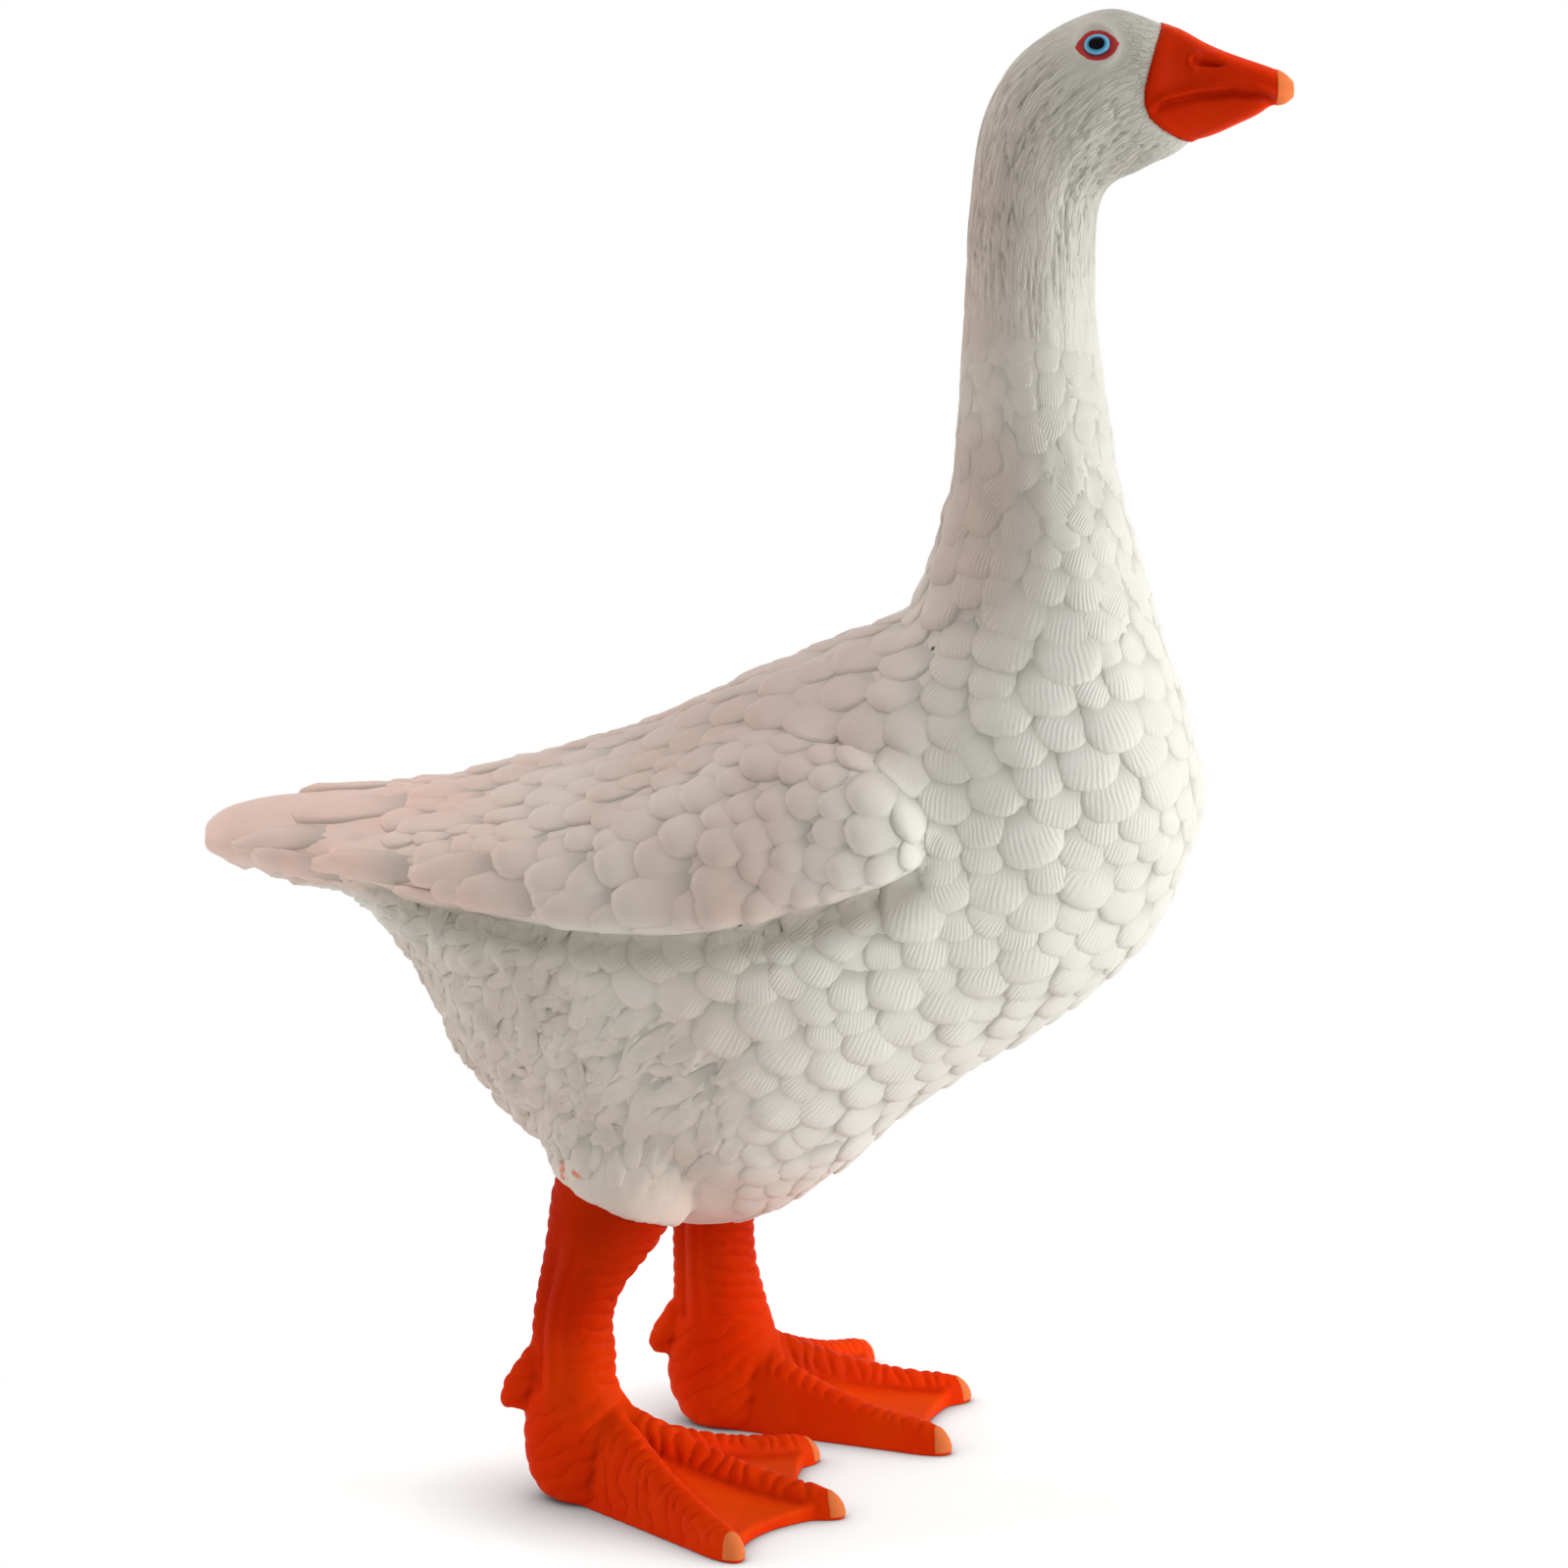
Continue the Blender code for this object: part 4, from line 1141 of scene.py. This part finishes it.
def footMoves(points, side, lines):
    # rings of scutes on shank and toes, and the tendon down the side of the shank
    x, y, z = points.T
    rows = np.array(legs["shank"][side])
    back = legs["heel"][side] + np.interp(z, rows[:, 0], rows[:, 1])
    front = legs["heel"][side] + np.interp(z, rows[:, 0], rows[:, 2])
    depth = (x - back) / (front - back)
    onShank = ramp(z, 5.2, 6.6)
    wobble = np.array([noise.noise(Vector(p) * 0.8) for p in points])
    fine = np.array([noise.noise(Vector(p) * 2.4) for p in points])
    rings = scutes(z + 0.28 * wobble + 0.25 * depth, legs["ringGap"], 0.5) - 0.7
    move = onShank * (ramp(depth, 0.34, 0.50) * 0.11 + ramp(depth, 0.80, 0.95) * 0.07) * rings
    move += onShank * ramp(-depth, -0.06, 0.0) * 0.10 * rings
    onSide = onShank * (1 - ramp(z, 12.5, 15.5))
    move += onSide * 0.18 * hump(depth - 0.27, 0.085)
    move -= onSide * 0.22 * hump(depth - 0.10, 0.060) * (depth > -0.1)
    found, miss = toeFinder(points, lines, side)
    number, share, offset = found.T
    reach = np.array([line[2] for line in lines])[number.astype(int)]
    crest = toeShape(share, 1.0)[0]
    onToe = ramp(share, 0.12, 0.24) * (1 - ramp(share, 0.86, 0.93)) * (miss < 1.25) * (1 - onShank)
    bumps = scutes(share * reach + 0.5 * wobble, legs["ringGap"], 0.6) - 0.6
    move += onToe * ramp(z / crest, 0.62, 0.80) * 0.16 * bumps
    plates = scutes(share * reach + 0.35 * z + 0.6 * wobble, legs["plateGap"], 0.6) - 0.6
    flank = onToe * (number == 0) * ramp(offset, 0.3, 0.7) * (1 - ramp(z / crest, 0.66, 0.86))
    move += flank * 0.13 * plates
    onAnkle = (1 - onShank) * (1 - ramp(share, 0.10, 0.22)) * (1 - flank)
    bands = scutes(0.80 * z - 0.60 * x + 0.4 * wobble, 1.0, 0.6) - 0.6
    move += onAnkle * 0.10 * bands
    return move + 0.02 * fine, found, miss


def hollowShares(data, rounds, depth):
    # 1 where a point lies well below the surface around it
    points, normals = getPoints(data), getPoints(data, "normal")
    ends = np.empty(len(data.edges) * 2, int)
    data.edges.foreach_get("vertices", ends)
    ends = ends.reshape(-1, 2)
    near = np.concatenate([ends[:, 0], ends[:, 1]])
    far = np.concatenate([ends[:, 1], ends[:, 0]])
    count = np.bincount(near, minlength=len(points))[:, None]
    smooth = points.copy()
    for _ in range(rounds):
        total = [np.bincount(near, weights=smooth[far, k], minlength=len(points)) for k in range(3)]
        smooth = 0.5 * smooth + 0.5 * np.stack(total, axis=1) / count
    return np.clip(((smooth - points) * normals).sum(1) / (depth * mm), 0, 1)


def makeFoot(side):
    mesh = bmesh.new()
    addShank(mesh, side)
    addHindToe(mesh, side)
    lines = toeLines(side)
    for line in lines:
        addToe(mesh, line)
    for first, second in zip(lines, lines[1:]):
        addWeb(mesh, first, second)
    voxel = legs["voxel"] * 1
    name = "foot" + ("Left" if side > 0 else "Right")
    data = evened(meshObject("foot", mesh), name, voxel, 6)
    points, normals = getPoints(data), getPoints(data, "normal")
    move, found, miss = footMoves(points / mm, side, lines)
    height = points[:, 2] / mm
    move *= ramp(height, 0.1, 0.5)
    share, offset = found.T[1:]
    tip = 0.925 + 0.05 * offset**2
    pale = ramp(share, tip, tip + 0.012) * (miss < 1.6) * ramp(height, 0.10, 0.25)
    points += normals * ((move + 0.05 * pale) * mm)[:, None]
    points[:, 2] = np.maximum(points[:, 2], 0.0)
    setPoints(data, points)
    # painted light on the webs between the toes, which face up to the light
    web = ramp(miss, 0.9, 1.9) * ramp(share, 0.15, 0.40)
    web = web * ramp(height, 0.3, 0.8) * (1 - ramp(height, 3.0, 4.0))
    setShares(data, "web", web)
    # painted shade in the hollows of the foot, less of it on the webs
    setShares(data, "deep", hollowShares(data, 40, 0.16) * (1 - 0.7 * web))
    setShares(data, "pale", pale)
    return data


# the finishes
def finishTree(name):
    made = bpy.data.materials.new(name)
    made.use_nodes = True
    tree = made.node_tree
    return made, tree, tree.nodes["Principled BSDF"]


def dustGroup():
    # sparse dark specks
    inputs = [("Scale", "Float", 900.0), ("Amount", "Float", 0.05)]
    tree, given, ended = nodeGroup("dustSpecks", "ShaderNodeTree", inputs, [("Mask", "Float")])
    place = placeIn(tree)
    cells = newNode(tree, "ShaderNodeTexVoronoi", {"feature": "F1"}, Vector=place, Scale=given["Scale"])
    limits = {"From_Min": 0.05, "From_Max": 0.12, "To_Min": 1.0, "To_Max": 0.0}
    grow = newNode(tree, "ShaderNodeMapRange", None, Value=cells.outputs["Distance"], **limits)
    pick = newNode(tree, "ShaderNodeSeparateColor", None, Color=cells.outputs["Color"])
    few = math2(tree, "LESS_THAN", pick.outputs[0], given["Amount"])
    join(tree, times(tree, grow.outputs[0], few), ended[0])
    return tree


def mixColor(tree, mask, first, second):
    node = newNode(tree, "ShaderNodeMix", {"data_type": "RGBA"}, mask)
    join(tree, first, node.inputs[6])
    join(tree, second, node.inputs[7])
    return node.outputs[2]


def rampValue(tree, value, low, high, start=0.0, end=1.0):
    limits = {"From_Min": low, "From_Max": high, "To_Min": start, "To_Max": end}
    smooth = {"interpolation_type": "SMOOTHSTEP"}
    return newNode(tree, "ShaderNodeMapRange", smooth, Value=value, **limits).outputs[0]


def finishShader(tree, shader, color, paint, height=None):
    join(tree, color, shader.inputs["Base Color"])
    join(tree, paint["roughness"], shader.inputs["Roughness"])
    join(tree, paint["specular"], shader.inputs["Specular IOR Level"])
    if height is not None:
        bump = newNode(tree, "ShaderNodeBump", None, Height=height, Distance=1.0, Strength=1.0)
        join(tree, bump.outputs[0], shader.inputs["Normal"])


whitePlastic = {
    "base": (0.83, 0.822, 0.755, 1),
    # colours of the painted shade in crevices and hollows, and of the painted shade under the wing
    "creviceShade": (0.42, 0.41, 0.355, 1),
    "shade": (0.46, 0.43, 0.35, 1),
    "speck": (0.05, 0.04, 0.035, 1),
    "rim": (0.46, 0.028, 0.024, 1),
    "smudge": (0.78, 0.16, 0.05, 1),
    "roughness": 0.48,
    "specular": 0.22,
    # strength of the painted shade under the wing, of the painted shade in the crevices and of the painted
    # shade in the hollows of the head
    "shadeShare": 0.85,
    "creviceShadeShare": 0.60,
    "hollowShare": 0.70,
    # turn of the barbs along a feather, and what place and tone add to it
    "barbTurns": (470.0, 9.0, 6.0),
    # where the smudge lies above the right leg, and the distance over which it fades
    "smudgeAt": (-8.4, 17.6),
    "smudgeFade": (1.85, 1.55),
    # outline of the red rim, as a distance from the middle of the eye
    "rimFade": (1.24, 1.16),
    "barbDepth": 0.000022,
    "hairDepth": 0.000035,
    "grainDepth": 0.000012,
}

# painted shade over the cast plastic, with greyer and warmer darker tints on the head, neck, back, wing and
# lower body, and a pink tint on the tail that partly stands for reflected light: colour, strength, x from
# none to full, z from none to full, in millimetres
shadeAndReflectionTints = [
    ((0.455, 0.435, 0.375, 1), 0.95, (24.0, 19.5), (59.0, 69.0)),
    ((0.62, 0.60, 0.54, 1), 0.75, (20.5, 16.5), (40.0, 52.0)),
    ((0.52, 0.41, 0.345, 1), 0.90, (16.4, 11.4), (40.0, 50.0)),
    ((0.67, 0.505, 0.435, 1), 0.90, (9.5, -1.0), (30.5, 32.5)),
    ((0.62, 0.48, 0.42, 1), 0.72, (13.0, 5.0), (37.0, 40.5)),
    ((0.93, 0.66, 0.57, 1), 0.95, (-6.0, -19.0), (31.0, 32.5)),
    ((0.70, 0.60, 0.515, 1), 0.75, (6.0, -4.0), (30.5, 28.5)),
    ((0.82, 0.66, 0.57, 1), 0.55, (9.0, 3.0), (18.5, 15.0)),
]


def sideDistance(tree, place, centre, stretch=1.0):
    # distance from a point as seen from the side, in millimetres
    parts = partsOf(tree, place)
    x = times(tree, math2(tree, "SUBTRACT", parts[0], centre[0] * mm), stretch / mm)
    z = times(tree, math2(tree, "SUBTRACT", parts[2], centre[1] * mm), 1 / mm)
    return math2(tree, "SQRT", math2(tree, "MULTIPLY_ADD", x, x, times(tree, z, z)))


def whiteBase(tree, dust, place):
    # cast colour with its painted shade and reflection tints, and a few specks
    parts = partsOf(tree, place)
    cloudy = rampValue(tree, noiseAt(tree, place, 130.0, 3.0), 0.30, 0.62, 0.55, 1.0)
    color = whitePlastic["base"]
    for shade, strength, acrossX, acrossZ in shadeAndReflectionTints:
        mask = rampValue(tree, parts[0], acrossX[0] * mm, acrossX[1] * mm, 0.0, strength)
        mask = times(tree, mask, rampValue(tree, parts[2], acrossZ[0] * mm, acrossZ[1] * mm), cloudy)
        color = mixColor(tree, mask, color, shade)
    specks = newNode(tree, "ShaderNodeGroup", {"node_tree": dust}, Scale=620.0, Amount=0.010).outputs[0]
    return color, specks


def featherPaint(tree, place, color, height):
    # painted shade in the crevices between the feathers, and barbs along them
    rise = valueOf(tree, "rise")
    creviceShade = rampValue(tree, rise, 0.50, 0.0, 0.0, whitePlastic["creviceShadeShare"])
    color = mixColor(tree, creviceShade, color, whitePlastic["creviceShade"])
    spots = partsOf(tree, newNode(tree, "ShaderNodeUVMap", {"uv_map": "featherMap"}).outputs[0])
    wobble = noiseAt(tree, place, 700.0, 2.0)
    along, bend, shift = whitePlastic["barbTurns"]
    turn = math2(tree, "ADD", times(tree, spots[0], along), times(tree, wobble, bend))
    turn = math2(tree, "ADD", turn, times(tree, valueOf(tree, "tone"), shift))
    wave = math2(tree, "MULTIPLY_ADD", math2(tree, "SINE", turn), 0.5, 0.5)
    inside = times(tree, rampValue(tree, spots[1], 0.30, 0.65), rampValue(tree, rise, 0.10, 0.45))
    patchy = rampValue(tree, wobble, 0.35, 0.60, 0.15, 1.0)
    strength = times(tree, inside, valueOf(tree, "barbs"), whitePlastic["barbDepth"], patchy)
    return color, math2(tree, "MULTIPLY_ADD", wave, strength, height)


def headPaint(tree, place, color, height):
    # painted shade in the hollows, the red rim of the eye and the strands of the hair
    parts = partsOf(tree, place)
    away = sideDistance(tree, place, head["eye"])
    onSide = rampValue(tree, math2(tree, "ABSOLUTE", parts[1]), 0.0010, 0.0014)
    slope = times(tree, math2(tree, "SUBTRACT", parts[0], head["eye"][0] * mm), 0.12)
    upper = math2(tree, "SUBTRACT", math2(tree, "SUBTRACT", parts[2], head["eye"][1] * mm), slope)
    flat = times(tree, math2(tree, "ABSOLUTE", upper), 0.60 / mm)
    ragged = times(tree, noiseAt(tree, place, 2600.0, 2.0), 0.16)
    almond = math2(tree, "ADD", math2(tree, "ADD", away, flat), ragged)
    red = times(tree, rampValue(tree, almond, *whitePlastic["rimFade"]), onSide)
    shade = rampValue(tree, valueOf(tree, "deep"), 0.0, 1.0, 0.0, whitePlastic["hollowShare"])
    color = mixColor(tree, shade, color, whitePlastic["creviceShade"])
    color = mixColor(tree, red, color, whitePlastic["rim"])
    strand = noiseAt(tree, valueOf(tree, "hairMap", "Vector"), 1.5, 1.0)
    groove = rampValue(tree, math2(tree, "ABSOLUTE", math2(tree, "SUBTRACT", strand, 0.5)), 0.0, 0.07)
    low, high = head["fade"]
    upwards = rampValue(tree, parts[2], low * mm, high * mm, 0.3, 1.0)
    groove = times(tree, groove, rampValue(tree, away, 1.1, 1.8), upwards)
    return color, math2(tree, "MULTIPLY_ADD", groove, whitePlastic["hairDepth"], height)


def whiteFinish(name, dust, feathered):
    made, tree, shader = finishTree(name)
    place = placeIn(tree)
    color, specks = whiteBase(tree, dust, place)
    height = times(tree, noiseAt(tree, place, 2200.0, 2.0), whitePlastic["grainDepth"])
    shade = times(tree, valueOf(tree, "shade"), whitePlastic["shadeShare"])
    color = mixColor(tree, shade, color, whitePlastic["shade"])
    paint = featherPaint if feathered else headPaint
    color, height = paint(tree, place, color, height)
    color = mixColor(tree, specks, color, whitePlastic["speck"])
    ragged = times(tree, noiseAt(tree, place, 1100.0, 3.0), 2.6)
    spill = math2(tree, "ADD", sideDistance(tree, place, whitePlastic["smudgeAt"], 0.8), ragged)
    onRight = math2(tree, "LESS_THAN", partsOf(tree, place)[1], -0.004)
    spill = times(tree, rampValue(tree, spill, *whitePlastic["smudgeFade"], 0.0, 0.75), onRight)
    color = mixColor(tree, spill, color, whitePlastic["smudge"])
    finishShader(tree, shader, color, whitePlastic, height)
    return made


orangePaint = {
    "base": (0.84, 0.036, 0.0006, 1),
    "light": (0.95, 0.080, 0.0015, 1),
    # colour of the painted shade in the hollows, up the shanks and on the cheeks of the bill, also used for
    # random darker patches
    "deep": (0.34, 0.008, 0.0003, 1),
    "pale": (0.88, 0.22, 0.065, 1),
    # strengths of the painted shade up the shanks and on the cheeks, of the painted light on the webs and of
    # the painted shade in the hollows
    "shankCheekShade": 0.60,
    "web": 0.65,
    "hollow": 0.9,
    "roughness": 0.46,
    "specular": 0.02,
    "grainDepth": 0.00003,
}


def orangeFinish(name):
    made, tree, shader = finishTree(name)
    place = placeIn(tree)
    parts = partsOf(tree, place)
    cloudy = rampValue(tree, noiseAt(tree, place, 230.0, 4.0), 0.35, 0.75, 0.0, 0.45)
    patch = rampValue(tree, noiseAt(tree, place, 120.0, 3.0), 0.48, 0.72, 0.0, 0.45)
    # painted shade in the hollows, with random darker patches of the paint joined to it
    deep = times(tree, math2(tree, "MAXIMUM", valueOf(tree, "deep"), patch), orangePaint["hollow"])
    # painted shade up the shanks, which lie under the belly, and on the cheeks of the bill below its lit
    # ridge
    shank = times(tree, rampValue(tree, parts[2], 0.005, 0.012), rampValue(tree, parts[2], 0.05, 0.04))
    cheek = rampValue(tree, math2(tree, "ABSOLUTE", parts[1]), 0.0005, 0.0013)
    cheek = times(tree, cheek, rampValue(tree, parts[2], 0.05, 0.06))
    shankCheekShade = times(tree, math2(tree, "MAXIMUM", shank, cheek), orangePaint["shankCheekShade"])
    # painted light: lighter orange on the webs, where they face up
    web = times(tree, valueOf(tree, "web"), orangePaint["web"])
    pale = rampValue(tree, valueOf(tree, "pale"), 0.3, 0.7)
    color = orangePaint["base"]
    for mask, shade in ((cloudy, "light"), (deep, "deep"), (shankCheekShade, "deep"), (web, "light"), (pale, "pale")):
        color = mixColor(tree, mask, color, orangePaint[shade])
    height = times(tree, noiseAt(tree, place, 1500.0, 3.0), orangePaint["grainDepth"])
    finishShader(tree, shader, color, orangePaint, height)
    return made


eyePaint = {
    "pupil": (0.003, 0.003, 0.006, 1),
    "iris": (0.065, 0.30, 0.52, 1),
    "light": (0.18, 0.52, 0.72, 1),
    "edge": (0.10, 0.06, 0.13, 1),
    # where each colour starts and where it is full, as shares of the eye
    "rings": {"iris": (0.58, 0.65), "light": (0.70, 0.84), "edge": (0.92, 0.99)},
    "roughness": 0.12,
    "specular": 0.05,
}


def eyeFinish(name):
    made, tree, shader = finishTree(name)
    ragged = noiseAt(tree, placeIn(tree), 2400.0, 2.0)
    ring = math2(tree, "MULTIPLY_ADD", ragged, 0.10, math2(tree, "SUBTRACT", valueOf(tree, "out"), 0.05))
    color = eyePaint["pupil"]
    for shade, (low, high) in eyePaint["rings"].items():
        color = mixColor(tree, rampValue(tree, ring, low, high), color, eyePaint[shade])
    finishShader(tree, shader, color, eyePaint)
    return made


# the stage: floor and backdrop are white to the camera, and the floor keeps the shadow
studio = {
    "world": 0.345,
    "floorGlow": 0.70,
    # reach and strength of the painted contact shadow on the floor
    "contactShadow": 0.007,
    "contactPower": 1.3,
    "floorColor": (0.50, 0.50, 0.50, 1),
    "tableColor": (0.96, 0.95, 0.93, 1),
    "shadowReach": (0.024, 0.042),
    # name: place, size, power, colour
    "lamps": {
        "key": ((0.45, -0.05, 0.04), 0.30, 1.29, (1, 1, 1)),
        "high": ((0.45, -0.12, 0.22), 0.30, 0.55, (1, 1, 1)),
        "fill": ((0.05, -0.55, 0.10), 0.30, 0.13, (1, 0.97, 0.94)),
        "top": ((-0.06, 0.12, 0.55), 0.30, 0.85, (1, 0.97, 0.95)),
        "rear": ((-0.42, 0.05, 0.18), 0.30, 0.50, (1, 0.92, 0.88)),
    },
}


def whiteToEye(tree):
    # 1 for camera, glossy and transmission rays
    path = newNode(tree, "ShaderNodeLightPath").outputs
    seen = math2(tree, "MAXIMUM", path["Is Camera Ray"], path["Is Glossy Ray"])
    return math2(tree, "MAXIMUM", seen, path["Is Transmission Ray"])


def paleFloor():
    made, tree, shader = finishTree("paleFloor")
    # painted contact shadow: an occlusion node darkens the floor's colour and glow near the feet
    contactShadow = newNode(tree, "ShaderNodeAmbientOcclusion", {"samples": 16}, Distance=studio["contactShadow"])
    openness = math2(tree, "POWER", contactShadow.outputs["AO"], studio["contactPower"])
    toEye = whiteToEye(tree)
    seen = mixColor(tree, openness, (0, 0, 0, 1), studio["floorColor"])
    values = {
        "Base Color": mixColor(tree, toEye, studio["tableColor"], seen),
        "Roughness": 1.0,
        "Specular IOR Level": 0.0,
        "Emission Color": (1, 1, 1, 1),
        "Emission Strength": times(tree, toEye, openness, studio["floorGlow"]),
    }
    for key, value in values.items():
        join(tree, value, shader.inputs[key])
    away = newNode(tree, "ShaderNodeVectorMath", {"operation": "LENGTH"}, placeIn(tree)).outputs["Value"]
    near = rampValue(tree, away, studio["shadowReach"][1], studio["shadowReach"][0])
    far = times(tree, toEye, math2(tree, "SUBTRACT", 1.0, near))
    white = newNode(tree, "ShaderNodeEmission", None, (1, 1, 1, 1))
    mix = newNode(tree, "ShaderNodeMixShader", None, far, shader.outputs[0], white.outputs[0])
    join(tree, mix.outputs[0], tree.nodes["Material Output"].inputs["Surface"])
    return made


def addWorld():
    world = bpy.data.worlds.new("studio")
    world.use_nodes = True
    tree = world.node_tree
    background = tree.nodes["Background"]
    background.inputs["Color"].default_value = (1, 1, 1, 1)
    limits = {"To_Min": studio["world"], "To_Max": 1.0}
    strength = newNode(tree, "ShaderNodeMapRange", None, Value=whiteToEye(tree), **limits)
    join(tree, strength.outputs[0], background.inputs["Strength"])
    bpy.context.scene.world = world


def addLamp(name, place, size, power, color):
    lamp = bpy.data.lights.new(name, "AREA")
    lamp.shape = "DISK"
    lamp.size = size
    lamp.energy = power
    lamp.color = color
    made = linkObject(name, lamp)
    made.location = place
    made.rotation_euler = (Vector((0, 0, 0.04)) - Vector(place)).to_track_quat("-Z", "Y").to_euler()


def triangleCount(piece):
    return sum(len(face.vertices) - 2 for face in piece.data.polygons)


print("goose: plumage")
dust = dustGroup()
featherWhite = whiteFinish("featherWhite", dust, True)
plainWhite = whiteFinish("plainWhite", dust, False)
skinData, rings = makeSkin()
surface = Surface(skinData, rings)
setShares(skinData, "facing", surface.normals, "FLOAT_VECTOR")
roughened(skinData)
# painted shade in the hollows of the body
setShares(skinData, "deep", hollowShares(skinData, 14, 0.13))
setShares(skinData, "shade", wingShade(getPoints(skinData)))
skin = linkObject("skin", skinData)
seats = feathersSeated(surface)
tree = featherTree()
scale = featherMesh("scale", 12, 0.72, 0.30, 0.50)
blade = featherMesh("blade", 12, 0.60, 0.10, 0.35)
scaleSeats = [seat for seat in seats if seat[1] not in longKinds]
bladeSeats = [seat for seat in seats if seat[1] in longKinds]
feathers = layFeathers(tree, "scaleFeathers", surface, scaleSeats, scale, skin, featherWhite)
blades = layFeathers(tree, "longFeathers", surface, bladeSeats, blade, skin, featherWhite)
body = skin
body.name = body.data.name = "body"

print("goose: head and bill")
headGrid, headNormals, headStations = headRings()
headPiece = makeHead(headGrid, headNormals, headStations)
billPiece = makeBill(headGrid, headNormals)
eyes = [makeEye(side, headPiece) for side in (-1, 1)]

print("goose: feet")
feet = []
for side in (-1, 1):
    footData = makeFoot(side)
    feet.append(linkObject(footData.name, footData))

orange = orangeFinish("orangePaint")
blue = eyeFinish("eyePaint")
finishes = [
    ((body, headPiece), plainWhite, "white_plastic"),
    ((feathers, blades), None, "white_plastic"),
    ((billPiece, *feet), orange, "orange_paint"),
    (eyes, blue, "eye_paint"),
]
for pieces, finish, slot in finishes:
    for piece in pieces:
        if finish:
            piece.data.materials.append(finish)
        piece.data.shade_smooth()
        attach(piece, "root")
        print(piece.name, triangleCount(piece), "triangles")
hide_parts("goose")
print("feathers", len(seats))

print("goose: stage")
floorMesh = bmesh.new()
bmesh.ops.create_grid(floorMesh, x_segments=1, y_segments=1, size=2.0)
floor = meshObject("floor", floorMesh, 1.0)
floor.data.materials.append(paleFloor())
addWorld()
for name, values in studio["lamps"].items():
    addLamp(name, *values)

lens = bpy.data.cameras.new("camera")
lens.lens = camera["lens"]
lens.sensor_width = 36
eye = linkObject("camera", lens)
tilt = math.radians(camera["elevation"])
target = Vector(camera["target"]) * mm
eye.location = target + Vector((0, -math.cos(tilt), math.sin(tilt))) * camera["distance"] * mm
eye.rotation_euler = (target - eye.location).to_track_quat("-Z", "Y").to_euler()
bpy.context.scene.camera = eye
bpy.context.scene.view_settings.view_transform = "Standard"
